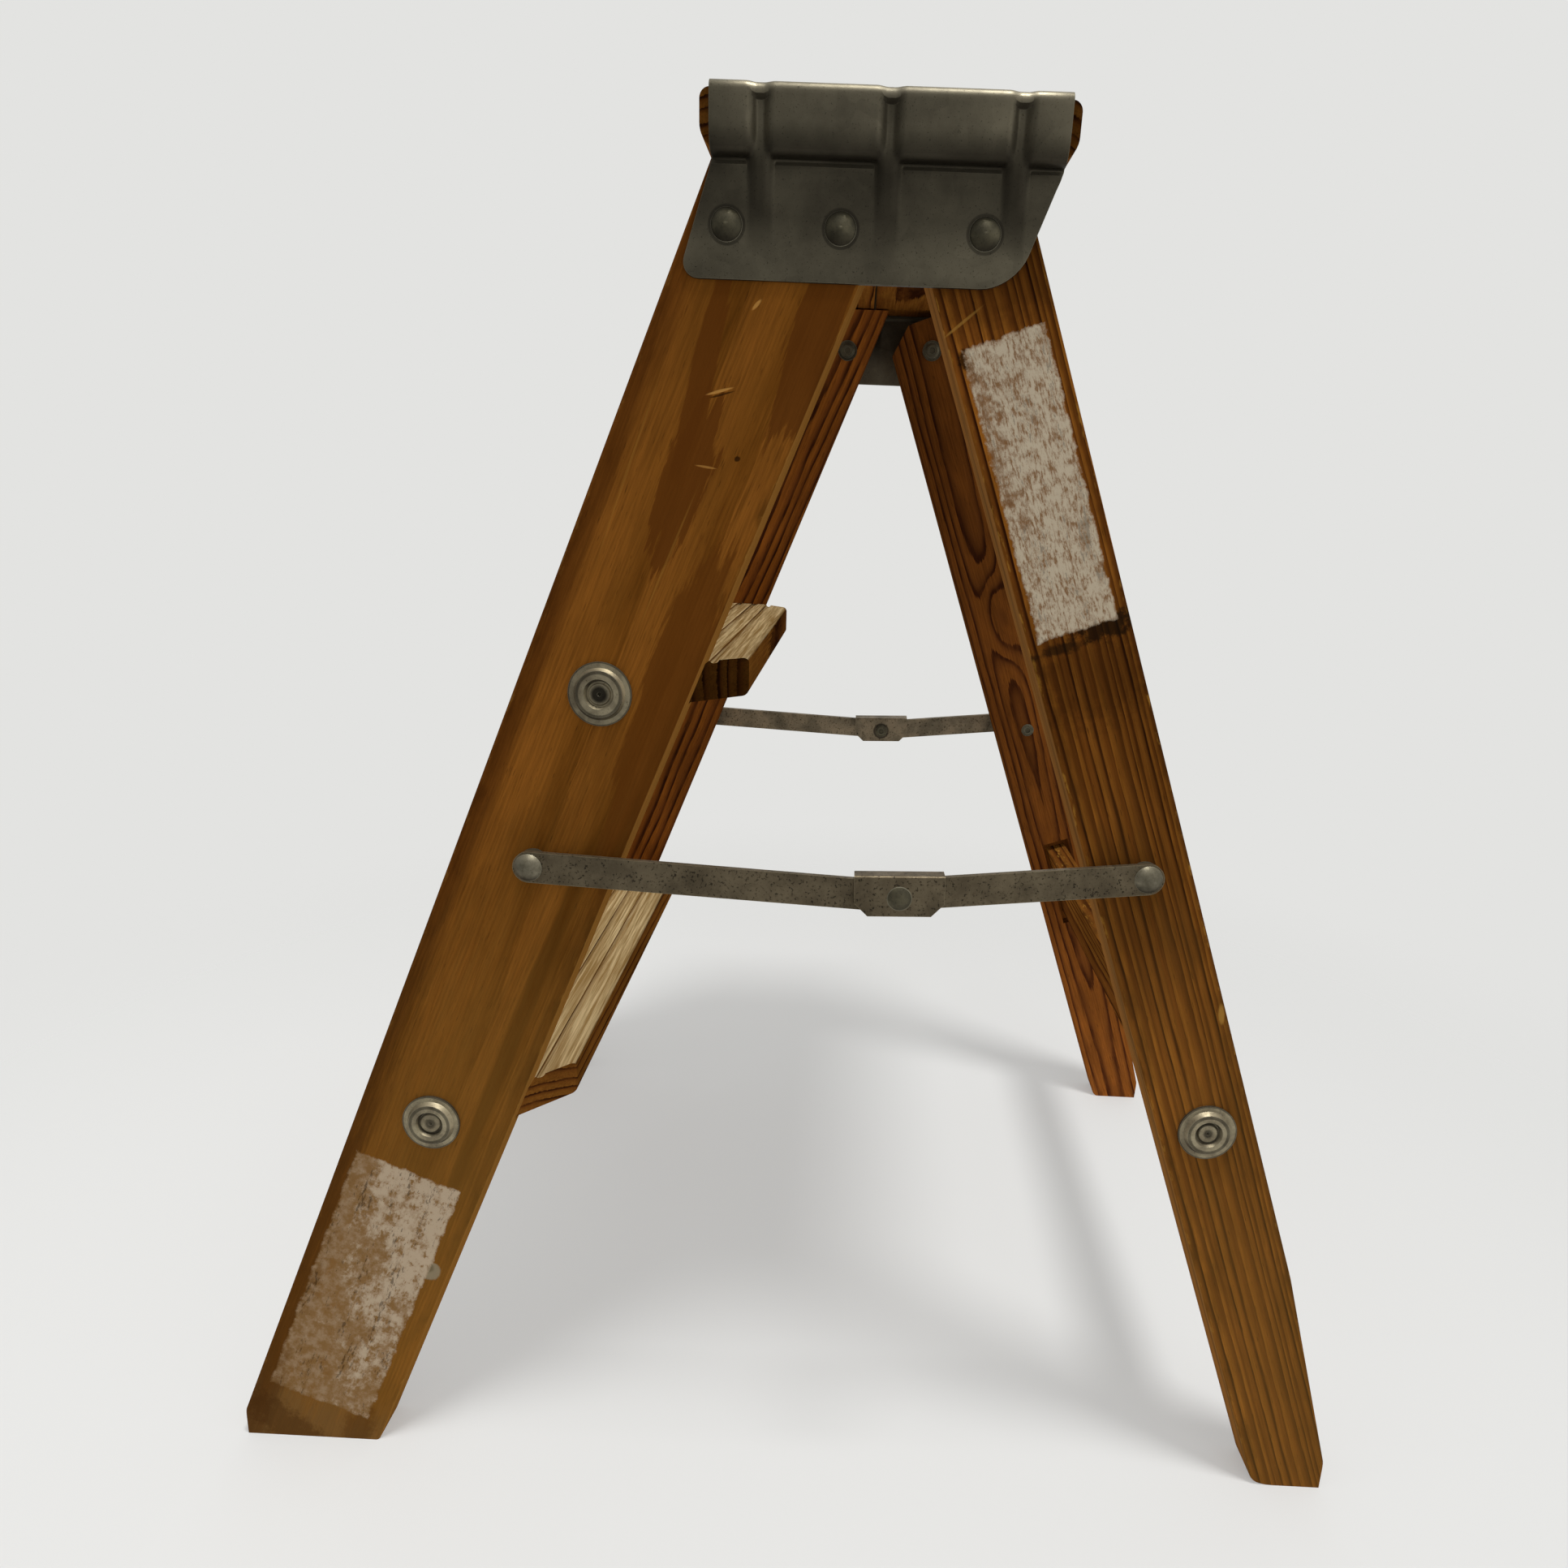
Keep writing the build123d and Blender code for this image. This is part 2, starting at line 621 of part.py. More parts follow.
# Rivets of the stays at the rails and at the legs
stay_front_head = front_link_lift + link_thickness + layer_gap
stay_front_rivets = both_sides([clinched_rivet(spot(*stay_front, stay_front_head),
                                               stay_front_head + rail_thickness)])
stay_front_spacers = both_sides([ring(spot(*stay_front), shank_hole, collar_radius,
                                      front_link_lift - layer_gap)])
rear_crown = (0, rivet_head_height)
rear_rim = (rivet_head_radius, 0)
rear_points = [rear_rim, (rivet_shank, 0), (rivet_shank, -link_thickness), (0, -link_thickness), rear_crown]
with BuildPart() as stay_rear_rivet_right:
    add(turned(spot(*stay_rear, rear_link_lift + link_thickness), rear_points, rear_crown, rear_rim))
post_points = [(0, collar_lift), (collar_radius, collar_lift)]
post_points += [(collar_radius, -leg_gap), (rivet_shank, -leg_gap)]
stay_rear_posts = both_sides([turned(spot(*stay_rear),
                                     post_points + clinched_end(-leg_gap - leg_thickness))])

pieces = {**top_boards, **steps}
pieces["front_rail_right"] = front_rail_right
pieces["front_rail_left"] = front_rail_left
pieces["rear_leg_right"] = rear_leg_right
pieces["rear_leg_left"] = rear_leg_left
pieces["rear_bar"] = rear_bar
pieces["top_bracket_right"] = top_bracket_right
pieces["top_bracket_left"] = top_bracket_left
pieces["top_nails"] = top_nails
pieces["bracket_rivets"] = bracket_rivets
pieces["bracket_rivet_burrs"] = bracket_rivet_burrs
pieces["leg_pivot_rivets"] = leg_pivot_rivets
pieces["leg_pivot_burrs"] = leg_pivot_burrs
pieces["leg_pivot_spacers"] = leg_pivot_spacers
pieces["upper_step_rod"] = upper_step_rod
pieces["lower_step_rod"] = lower_step_rod
pieces["rear_rod"] = rear_rod
pieces["step_rod_washers"] = step_rod_washers
pieces["rear_rod_washers"] = rear_rod_washers
pieces["stay_front_rivets"] = stay_front_rivets
pieces["stay_front_spacers"] = stay_front_spacers
pieces["stay_rear_posts"] = stay_rear_posts
right_stay = {"front_link": front_link_right, "rear_link": rear_link_right,
              "knuckle_saddle": knuckle_saddle_right, "knuckle_rivet": knuckle_rivet_right,
              "stay_rear_rivet": stay_rear_rivet_right}
for label, piece in right_stay.items():
    pieces[label + "_right"] = piece
    pieces[label + "_left"] = mirrored(piece.part)

os.makedirs("parts", exist_ok=True)
for label, piece in pieces.items():
    piece.part.label = label
    export_step(piece.part, f"parts/{label}.step")

print(f"leg pivot Y {pivot_y:.3f} Z {rivet_height:.3f}")
print(f"stay front Y {stay_front[0]:.3f} Z {stay_front[1]:.3f} rear Y {stay_rear[0]:.3f} Z {stay_rear[1]:.3f}")
print(f"knuckle Y {knuckle_y:.3f} Z {knuckle_z:.3f}")
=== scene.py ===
import json
import math
import bmesh
import bpy
from mathutils import Matrix, Vector


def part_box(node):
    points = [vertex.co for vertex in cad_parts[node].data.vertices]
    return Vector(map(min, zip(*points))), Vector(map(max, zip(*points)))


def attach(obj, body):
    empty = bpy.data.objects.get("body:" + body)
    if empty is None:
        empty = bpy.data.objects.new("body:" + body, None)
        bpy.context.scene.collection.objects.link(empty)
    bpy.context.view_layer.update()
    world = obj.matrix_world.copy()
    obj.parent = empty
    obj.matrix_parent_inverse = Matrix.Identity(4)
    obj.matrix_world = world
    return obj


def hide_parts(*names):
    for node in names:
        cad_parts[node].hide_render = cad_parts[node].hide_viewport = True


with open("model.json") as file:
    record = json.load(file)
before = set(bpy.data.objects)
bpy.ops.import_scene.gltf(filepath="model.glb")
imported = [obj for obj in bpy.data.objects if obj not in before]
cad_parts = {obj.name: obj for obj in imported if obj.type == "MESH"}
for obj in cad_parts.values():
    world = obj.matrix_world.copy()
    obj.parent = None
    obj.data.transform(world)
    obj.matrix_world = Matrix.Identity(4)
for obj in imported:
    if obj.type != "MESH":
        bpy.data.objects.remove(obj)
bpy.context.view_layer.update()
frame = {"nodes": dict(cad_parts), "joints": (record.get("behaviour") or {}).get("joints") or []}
print("frame loaded:", len(frame["nodes"]), "nodes")

# Folding step stool: varnished pine, galvanised sheet brackets and folding stays.
# The near side is +X, the steps face -Y and the floor is Z 0. Looks are in millimetres and degrees.

mm = 0.001
railLean = 22.0     # back from upright
legLean = 20.1
sideFlare = 3.92    # the sides spread towards the floor
railWidth = 63.5
slack = 0.01        # for picking vertices by their place
smooth = {"interpolation_type": "SMOOTHSTEP"}   # node settings
rgba = {"data_type": "RGBA"}


def hexColour(text):  # sRGB hex to linear colour
    channels = [int(text[i:i + 2], 16) / 255 for i in (1, 3, 5)]
    linear = [c / 12.92 if c <= 0.04045 else ((c + 0.055) / 1.055) ** 2.4 for c in channels]
    return (*linear, 1.0)


def addNode(tree, kind, inputs=None, output=0, **settings):  # an input is a value or another node's output
    node = tree.nodes.new("ShaderNode" + kind)
    for name, value in settings.items():
        setattr(node, name, value)
    for name, value in (inputs or {}).items():
        if isinstance(value, bpy.types.NodeSocket):
            tree.links.new(value, node.inputs[name])
        else:
            node.inputs[name].default_value = value
    return node.outputs[output]


def newMaterial(name):
    material = bpy.data.materials.new(name)
    material.use_nodes = True
    tree = material.node_tree
    return material, tree, tree.nodes["Principled BSDF"]


def dress(material, *names):  # gives CAD nodes a finish in all their slots
    for name in names:
        node = frame["nodes"][name]
        for index in range(max(1, len(node.material_slots))):
            if index < len(node.material_slots):
                node.material_slots[index].material = material
            else:
                node.data.materials.append(material)


def grainFrame(origin, along, normal):  # place and turn of a frame with Z along the grain, X out of the face
    z = Vector(along).normalized()
    x = Vector(normal).normalized()
    turn = Matrix((x, z.cross(x), z)).transposed()
    return Vector(origin), turn.to_euler()


# Places that the finishes and pieces start from
flare = math.radians(sideFlare)
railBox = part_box("front_rail_right")
railSlope = math.tan(math.radians(railLean))
railHalf = railWidth / 2 / math.cos(math.radians(railLean)) * mm
railMiddle = railBox[1].y - railHalf - railBox[1].z * railSlope   # Y of the rail's middle on the floor
pivot = Vector(next(j["pos_m"] for j in frame["joints"] if j["name"] == "rear_legs_fold"))
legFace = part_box("rear_leg_right")[1].x - pivot.z * math.tan(flare)   # outer face of the leg at the pivot


def sideFrame(side, lean, origin):  # frame on a flared side, side +1 is the near one
    normal = (side * math.cos(flare), 0, math.sin(flare))
    along = (-side * math.tan(flare), math.tan(math.radians(lean)), 1)
    return grainFrame((side * origin[0], origin[1], origin[2]), along, normal)


# Top brackets, pressed from one sheet: flange on the boards, face with three channels, curl under the boards,
# neck with a small ridge, and a lower flange that spreads over rail and leg. The channels run on as soft
# gussets across the neck.
bracketLook = {
    "width": 120.6, "sheet": 1.15, "endGap": 4.1, "topBend": 2.0, "curl": 4.0, "curlRise": 2.1, "neck": 2.0,
    "bendSteps": 5, "frontReach": 11.5, "rearDraw": 13.8, "frontRound": 7.4, "rearRound": 12.0, "roundSteps": 8,
    "channels": (-43.3, 0.4, 44.1), "channelHalf": 5.2, "channelFlat": 0.2, "channelDepth": 3.3,
    "channelCuts": 8, "channelSlope": 1.2, "notch": (0.2, 0.25), "gussetFoot": 37.0, "gussetRows": 4,
    "ridgeDrop": 1.2, "ridgeRise": 0.6, "edgeRound": 0.3, "edgeSteps": 2, "edgeAngle": 50, "smoothAngle": 40,
}


def pick(piece, test):  # selects the vertices that pass a test of their place in mm
    mesh = bmesh.from_edit_mesh(piece.data)
    for vertex in mesh.verts:
        vertex.select_set(test(*(vertex.co / mm)))
    mesh.select_flush_mode()
    mesh.select_flush(True)
    bmesh.update_edit_mesh(piece.data)


def bracketPiece(name, look):
    low, high = (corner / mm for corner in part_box("top_bracket_right"))
    board = [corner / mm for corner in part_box("top_board_front")]
    top, under = board[1].z, board[0].z   # inner faces over and under the board
    faceX = board[1].x + look["endGap"]
    middleY = high.y - look["width"] / 2
    frontY, rearY = middleY - look["width"] / 2, high.y
    railFace = railBox[1].x / mm - under * math.tan(flare)    # rail's outer face under the board
    bendEnd = faceX - look["topBend"]
    bpy.ops.object.select_all(action="DESELECT")
    bpy.ops.mesh.primitive_plane_add(size=1, location=((low.x + bendEnd) / 2 * mm, middleY * mm, top * mm))
    piece = bpy.context.object
    piece.name = name
    piece.scale = ((bendEnd - low.x) * mm, look["width"] * mm, 1)
    bpy.ops.object.transform_apply(location=True, rotation=True, scale=True)
    bpy.ops.object.mode_set(mode="EDIT")
    bpy.ops.mesh.select_mode(type="VERT")
    pick(piece, lambda x, y, z: x > bendEnd - slack)
    bpy.ops.mesh.spin(steps=look["bendSteps"], angle=-math.pi / 2, axis=(0, 1, 0),
                      center=(bendEnd * mm, middleY * mm, (top - look["topBend"]) * mm))
    faceTop, curlTop = top - look["topBend"], under + look["curl"]
    for run in (look["channelSlope"], faceTop - look["channelSlope"] - curlTop):
        bpy.ops.mesh.extrude_region_move(TRANSFORM_OT_translate={"value": (0, 0, -run * mm)})
    bpy.ops.mesh.spin(steps=look["bendSteps"], angle=-math.pi / 2, axis=(0, 1, 0),
                      center=((faceX - look["curl"]) * mm, middleY * mm, curlTop * mm))
    pick(piece, lambda x, y, z: z < curlTop + slack)
    bpy.ops.transform.resize(value=(1, 1, look["curlRise"]), center_override=(0, 0, under * mm))
    faceFoot = under + look["curl"] * look["curlRise"]
    pick(piece, lambda x, y, z: z < under + slack)
    neckTurn = math.pi / 2 + flare
    neckStart = railFace + look["neck"] * math.tan(neckTurn / 2)
    bpy.ops.mesh.extrude_region_move(
        TRANSFORM_OT_translate={"value": ((neckStart - faceX + look["curl"]) * mm, 0, 0)})
    bpy.ops.mesh.spin(steps=look["bendSteps"], angle=-neckTurn, axis=(0, -1, 0),
                      center=(neckStart * mm, middleY * mm, (under - look["neck"]) * mm))
    neckEnd = under - look["neck"] * (1 + math.sin(flare))
    foot = high.z - look["gussetFoot"]
    ridge = neckEnd - look["ridgeDrop"]
    below = ridge - look["ridgeDrop"]
    levels = [ridge] + [below + (foot - below) * i / look["gussetRows"] for i in range(look["gussetRows"] + 1)]
    height = neckEnd
    for level in levels + [low.z]:
        drop = height - level
        bpy.ops.mesh.extrude_region_move(
            TRANSFORM_OT_translate={"value": (drop * math.tan(flare) * mm, 0, -drop * mm)})
        height = level

    # the profile's points from the face down, with how far each is pressed at a channel's middle
    mesh = bmesh.from_edit_mesh(piece.data)
    inner = bendEnd - 3 * look["curl"]   # the flange on the boards lies further in
    line = sorted({(round(v.co.x / mm, 3), round(v.co.z / mm, 3)) for v in mesh.verts
                   if v.co.x / mm > inner and foot - slack < v.co.z / mm < faceTop - slack},
                  key=lambda p: (-p[1], -p[0]))
    bend = {(round(v.co.x / mm, 3), round(v.co.z / mm, 3)) for v in mesh.verts
            if v.co.x / mm > bendEnd - slack and v.co.z / mm > faceTop - slack}
    first = next(p for p in line if abs(p[1] - faceFoot) < slack)
    curved = line[line.index(first):]
    runs = [0.0]
    for a, b in zip(curved, curved[1:]):
        runs.append(runs[-1] + math.dist(a, b))
    press = {p: (-look["channelDepth"], 0.0) for p in line if p[1] > faceFoot - slack}
    for p in bend:
        press[p] = (-look["channelDepth"] * look["notch"][0], -look["notch"][1])
    upper, lower = Vector((faceX - look["channelDepth"], faceFoot)), Vector(curved[-1])
    for p, run in zip(curved[1:], runs[1:]):
        press[p] = upper.lerp(lower, run / runs[-1]) - Vector(p)

    # cuts beside each channel's middle, every row of points then pressed by a soft profile
    offsets = [look["channelHalf"] * i / look["channelCuts"] for i in range(look["channelCuts"] + 1)]
    rows = sorted({round(middle + sign * offset, 4) for middle in look["channels"] for offset in offsets
                   for sign in (-1, 1)})
    for row in rows:
        pick(piece, lambda x, y, z: z > foot - slack)
        bpy.ops.mesh.bisect(plane_co=(0, (middleY + row) * mm, 0), plane_no=(0, 1, 0))
    away = lambda y: min(abs(y - middleY - middle) for middle in look["channels"])   # from the nearest channel
    for (px, pz), (dx, dz) in press.items():
        for offset in offsets[:-1]:
            slope = (offset / look["channelHalf"] - look["channelFlat"]) / (1 - look["channelFlat"])
            share = (1 + math.cos(math.pi * max(0, slope))) / 2
            pick(piece, lambda x, y, z: max(abs(x - px), abs(z - pz)) < slack / 5
                 and abs(away(y) - offset) < slack)
            bpy.ops.transform.translate(value=(dx * share * mm, 0, dz * share * mm))
    pick(piece, lambda x, y, z: abs(z - ridge) < slack and away(y) > look["channelHalf"] - slack)
    bpy.ops.transform.translate(value=(look["ridgeRise"] * mm, 0, 0))

    # the lower flange spreads to the front, draws in to the rear, and has round lower corners
    for level in levels + [low.z]:
        share = (neckEnd - level) / (neckEnd - low.z)
        pick(piece, lambda x, y, z: abs(z - level) < slack and y < frontY + slack)
        bpy.ops.transform.translate(value=(0, -look["frontReach"] * share * mm, 0))
        pick(piece, lambda x, y, z: abs(z - level) < slack and y > rearY - slack)
        bpy.ops.transform.translate(value=(0, -look["rearDraw"] * share * mm, 0))
    for rounding, side in ((look["frontRound"], -1), (look["rearRound"], 1)):
        pick(piece, lambda x, y, z: z < low.z + slack and (y - middleY) * side > 0)
        bpy.ops.mesh.bevel(offset=rounding * mm, affect="VERTICES", segments=look["roundSteps"])
    bpy.ops.mesh.select_all(action="SELECT")
    bpy.ops.mesh.normals_make_consistent(inside=False)
    bpy.ops.object.mode_set(mode="OBJECT")
    topFace = max(piece.data.polygons, key=lambda face: face.center.z)
    outward = 1 if topFace.normal.z > 0 else -1
    wall = piece.modifiers.new("sheetWall", "SOLIDIFY")
    wall.thickness = look["sheet"] * mm
    wall.offset = outward
    wall.use_even_offset = True
    edges = piece.modifiers.new("brokenEdges", "BEVEL")
    edges.width = look["edgeRound"] * mm
    edges.segments = look["edgeSteps"]
    edges.limit_method = "ANGLE"
    edges.angle_limit = math.radians(look["edgeAngle"])
    for modifier in list(piece.modifiers):
        bpy.ops.object.modifier_apply(modifier=modifier.name)
    bpy.ops.object.mode_set(mode="EDIT")
    bpy.ops.mesh.select_all(action="SELECT")
    bpy.ops.mesh.normals_make_consistent(inside=False)
    bpy.ops.object.mode_set(mode="OBJECT")
    bpy.ops.object.shade_smooth_by_angle(angle=math.radians(look["smoothAngle"]))
    return piece


def mirroredPiece(piece, name):  # copy for the far side
    bpy.ops.object.select_all(action="DESELECT")
    piece.select_set(True)
    bpy.context.view_layer.objects.active = piece
    bpy.ops.object.duplicate()
    copy = bpy.context.object
    copy.name = name
    bpy.ops.object.mode_set(mode="EDIT")
    bpy.ops.mesh.select_all(action="SELECT")
    bpy.ops.transform.resize(value=(-1, 1, 1), center_override=(0, 0, 0))
    bpy.ops.mesh.normals_make_consistent(inside=False)
    bpy.ops.object.mode_set(mode="OBJECT")
    return copy


bracketRight = bracketPiece("pressed_bracket_right", bracketLook)
bracketLeft = mirroredPiece(bracketRight, "pressed_bracket_left")
for piece, node in ((bracketRight, "top_bracket_right"), (bracketLeft, "top_bracket_left")):
    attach(piece, "front_frame")
    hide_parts(node)
print("brackets pressed:", len(bracketRight.data.polygons), "faces each")

# Varnished pine: flat and quarter sawn boards under an old amber varnish. Rings about the pith give arches or
# stripes on the faces and arcs on the ends. Light early wood darkens towards each late ring.
# A mark is: place, reach and turn on the face, shade, strength, raggedness, softness of its rim, depth.
railLook = {
    "early": "#7a4b1a", "middle": "#754818", "late": "#693f13", "grime": "#2c1a08", "raw": "#a87c38", "bareAndReflectedSide": "#966a31",
    "ringWidth": 13.0, "pith": (-60, -30), "tilt": (0.2, -0.5), "wander": (3.4, 5.0), "seed": 3.0,
    "bands": (0.30, 0.62, 0.80, 0.95), "calm": 0.6, "weak": 0.0, "fade": (560, 100, 0.95, 1.0),
    "halfWidth": 31.7, "middleShift": 0.0, "wear": {"grime": 0.55, "raw": 0.5}, "endShade": 0.5, "sides": (0, 0.75),
    "knots": [], "worn": None,
    "marks": [((-9, 516), (4.2, 42), 8, "#57300e", 0.85, 1.2, 0.08, 0),
              ((-0.5, 476), (8.0, 33), 3, "#57300e", 0.85, 1.9, 0.06, 0),
              ((23, 552), (9.5, 48), 3, "#542e0e", 0.80, 1.8, 0.06, 0),
              ((26, 384), (12.0, 78), 5, "#58310e", 0.80, 1.5, 0.08, 0),
              ((18.5, 235), (3.4, 110), 0, "#4c2b09", 0.75, 1.0, 0.30, 0),
              ((29, 250), (2.6, 150), 0, "#4a2a0a", 0.45, 0.9, 0.5, 0),
              ((-35, 420), (11.0, 330), 0, "#3c1c07", 0.66, 0.9, 0.4, 0),
              ((14, 70), (48, 190), 0, "#83602b", 0.38, 1.0, 0.7, 0),
              ((0, -6), (60, 30), 0, "#6c5434", 0.5, 1.6, 0.5, 0),
              ((-30, 60), (9, 150), 0, "#4a2b10", 0.6, 1.8, 0.4, 0),
              ((-8, 0), (34, 9), -22, "#45290f", 0.55, 2.6, 0.4, 0),
              ((20, 14), (7, 12), 0, "#4f3114", 0.5, 2.4, 0.4, 0),
              ((-0.4, 509.8), (0.5, 4.6), -52, "#b08040", 0.8, 0.3, 0.3, -1.2),
              ((0.8, 509.0), (0.35, 4.4), -52, "#2c1807", 0.8, 0.3, 0.3, -1.0),
              ((0.6, 541.5), (0.6, 2.2), -20, "#b08040", 0.8, 0.3, 0.3, -1.2),
              ((14.5, 491.0), (0.9, 1.1), -40, "#2c1807", 0.9, 0.3, 0.3, -1.2),
              ((5.0, 483.8), (0.4, 3.6), -75, "#b08040", 0.5, 0.3, 0.3, -0.8),
              ((4.5, 448.0), (0.4, 24), -1, "#8f6428", 0.35, 0.6, 0.4, -0.3),
              ((-21.0, 470.0), (0.4, 30), 2, "#8f6428", 0.30, 0.6, 0.4, -0.3),
              # a small round dent beside the label: a grey disc, with painted shade on its upper front part
              ((23.2, 112.7), (4.8, 4.8), 0, "#8b8068", 0.85, 0.5, 0.12, 0.6),
              ((21.8, 113.8), (2.6, 2.6), 0, "#5c5037", 0.6, 0.5, 0.3, 0)],
    "label": {"low": (-26, 22), "high": (22.5, 157), "paper": "#b5a289", "thin": "#83643f", "cover": 0.47,
              "bias": (0.0030, 0.0010), "flake": (15, 15, 24), "specks": 0.6,
              "rub": {"fray": 1.0, "scraped": 0.5, "range": (0.56, 0.72)}},
}
farRailLook = dict(railLook, early="#824b1a", middle="#683a17", late="#33180b", pith=(-60, 14), ringWidth=4.2,
                   seed=11.0, tilt=(0.3, 0.9), sides=(0, 0), marks=[], label=None)
legLook = {
    "early": "#764b1c", "middle": "#653b16", "late": "#301709", "grime": "#221308", "raw": "#a2752f", "bareAndReflectedSide": "#8e6638",
    "ringWidth": 3.4, "pith": (-30, -165), "tilt": (0.2, 0.15), "wander": (4, 1.8), "seed": 7.0,
    "bands": (0.40, 0.68, 0.84, 0.95), "calm": 0.6, "weak": 0.0, "fade": (-180, -540, 0.88, 1.2),
    "halfWidth": 20.0, "middleShift": -2.0, "wear": {"grime": 0.55, "raw": 0.6}, "endShade": 0.5, "sides": (0.62, 0),
    "knots": [], "worn": None,
    "marks": [((-14.5, -24.0), (0.5, 7.5), -70, "#a87c38", 0.6, 0.4, 0.4, -0.6),
              ((15.7, -311.9), (1.2, 4.5), -10, "#a87c38", 0.8, 0.6, 0.3, -0.8),
              ((-15.5, -36.5), (4.0, 3.6), 0, "#140e08", 0.85, 2.2, 0.25, 0),
              ((8.0, -142.5), (11.5, 4.6), 0, "#15100a", 0.85, 2.4, 0.3, 0),
              ((-10.0, -146.0), (9.0, 2.0), 0, "#15100a", 0.75, 2.4, 0.4, 0),
              ((0.0, -160.0), (26.0, 17.0), 0, "#241307", 0.42, 2.0, 0.5, 0),
              # a darker patch about the stay rivet, by the link's end
              ((-8.0, -262.0), (16.0, 40.0), 0, "#241307", 0.38, 1.8, 0.6, 0),
              ((4.0, -12.0), (26.0, 18.0), 0, "#1c0f06", 0.40, 1.5, 0.5, 0),
              ((0.0, -530.0), (44.0, 220.0), 0, "#6f5429", 0.36, 0.9, 0.8, 0)],
    "label": {"low": (-17.5, -141), "high": (13, -33), "paper": "#b7a992", "thin": "#7f6144", "cover": 0.58,
              "bias": (0.003, -0.0004), "flake": (9, 9, 20), "specks": 0.45,
              "rub": {"fray": 0.6, "scraped": 1.0, "range": (0.64, 0.86)}},
}
nearLegLook = dict(legLook, early="#86531d", middle="#6c3e15", late="#2c1307", bands=(0.26, 0.56, 0.78, 0.95),
                   calm=0.40, weak=0.85)
# A knot is: place and reach on the face, how far it lifts the rings
farLegLook = dict(legLook, early="#6c3e17", middle="#593214", late="#33180b", pith=(-30, 2), ringWidth=3.0, seed=19.0,
                  tilt=(0.3, 0.7), fade=(-120, -520, 0.85, 1.75), sides=(0, 0), marks=[], label=None,
                  knots=[((-0.4, -164.0), (10, 30), 8.0)])
crossLook = dict(legLook, sides=(0, 0), fade=None, marks=[], label=None, middleShift=0.0)   # from side to side
barLook = dict(crossLook, pith=(40, 12), ringWidth=4.0, seed=23.0, tilt=(1.2, 0.4), halfWidth=27.0)
topLook = dict(crossLook, pith=(-70, 10), ringWidth=4.0, seed=29.0, tilt=(0.8, 0.4), halfWidth=32.0)
# endShade over 1: the lower step's end comes out a little lighter than its faces
stepLook = dict(crossLook, pith=(-55, -14), ringWidth=4.4, seed=31.0, tilt=(1.0, 0.5), halfWidth=41.0, endShade=1.2,
                worn={"pale": "#efd49f", "dark": "#aa8650", "upward": (0.45, 0.8), "streak": (0.36, 0.66),
                      "late": (0.7, 0.9, 0.5), "rough": 0.75})
# Reach of one blob through, across and along the grain, fineness and roughness of each pattern
pinePatterns = {"drift": ((34, 34, 190), 3.0, 0.5), "fibre": ((0.9, 0.9, 26), 3.0, 0.6),
                "blotch": ((48, 48, 120), 4.0, 0.6), "fleck": ((0.55, 0.55, 7), 1.0, 0.5),
                "patchy": ((7, 7, 24), 3.0, 0.6), "chips": ((2.2, 2.2, 9), 3.0, 0.7),
                "figure": ((4, 4, 42), 5.0, 0.66), "streak": ((1.6, 1.6, 60), 4.0, 0.65),
                "fray": ((5, 5, 5), 4.0, 0.7), "scraped": ((0.9, 1.1, 4.2), 4.0, 0.72)}
# What the patterns do on every board. Ranges are of a pattern's value, then of what it gives.
pineLook = {
    "unevenRate": 0.25, "unevenYears": 2.2, "fibreYears": 0.26, "calm": (0.38, 0.72), "weak": (0.42, 0.66),
    "weakRate": 0.9, "fibreTone": (0.25, 0.75, 0.77, 1.20), "blotchTone": (0.3, 0.72, 0.76, 1.2),
    "fleck": (0.66, 0.76, 0.55), "rough": (0.3, 0.7, 0.66, 0.84), "ringHeight": 0.35, "chipDepth": -0.8,
    "bump": 0.35, "bumpReach": 0.35, "skin": (-2.0, -1.0), "edgeStart": 0.4, "longMark": 20,
    "endOn": (0.48, 0.68), "sideOn": (0.7, 0.9), "sideShare": 1.7,
    "edgeWear": (("patchy", 0.42, 0.72, 9.0, "grime"), ("chips", 0.55, 0.66, 2.0, "raw")),
}
labelLook = {"torn": (6.0, 0.72), "shares": {"torn": 0.62, "fray": 0.26, "scraped": 0.12}, "frayReach": 4.0,
             "rim": (-0.4, 0.8), "film": (0.28, 0.44, 0.45, 0.9), "haze": (0.38, 0.66, 0.36), "soft": (0.05, 0.07),
             "solid": 0.95, "dirtShare": 0.8, "dirt": (1.0, 1.08), "rough": 0.85, "rise": 0.9}


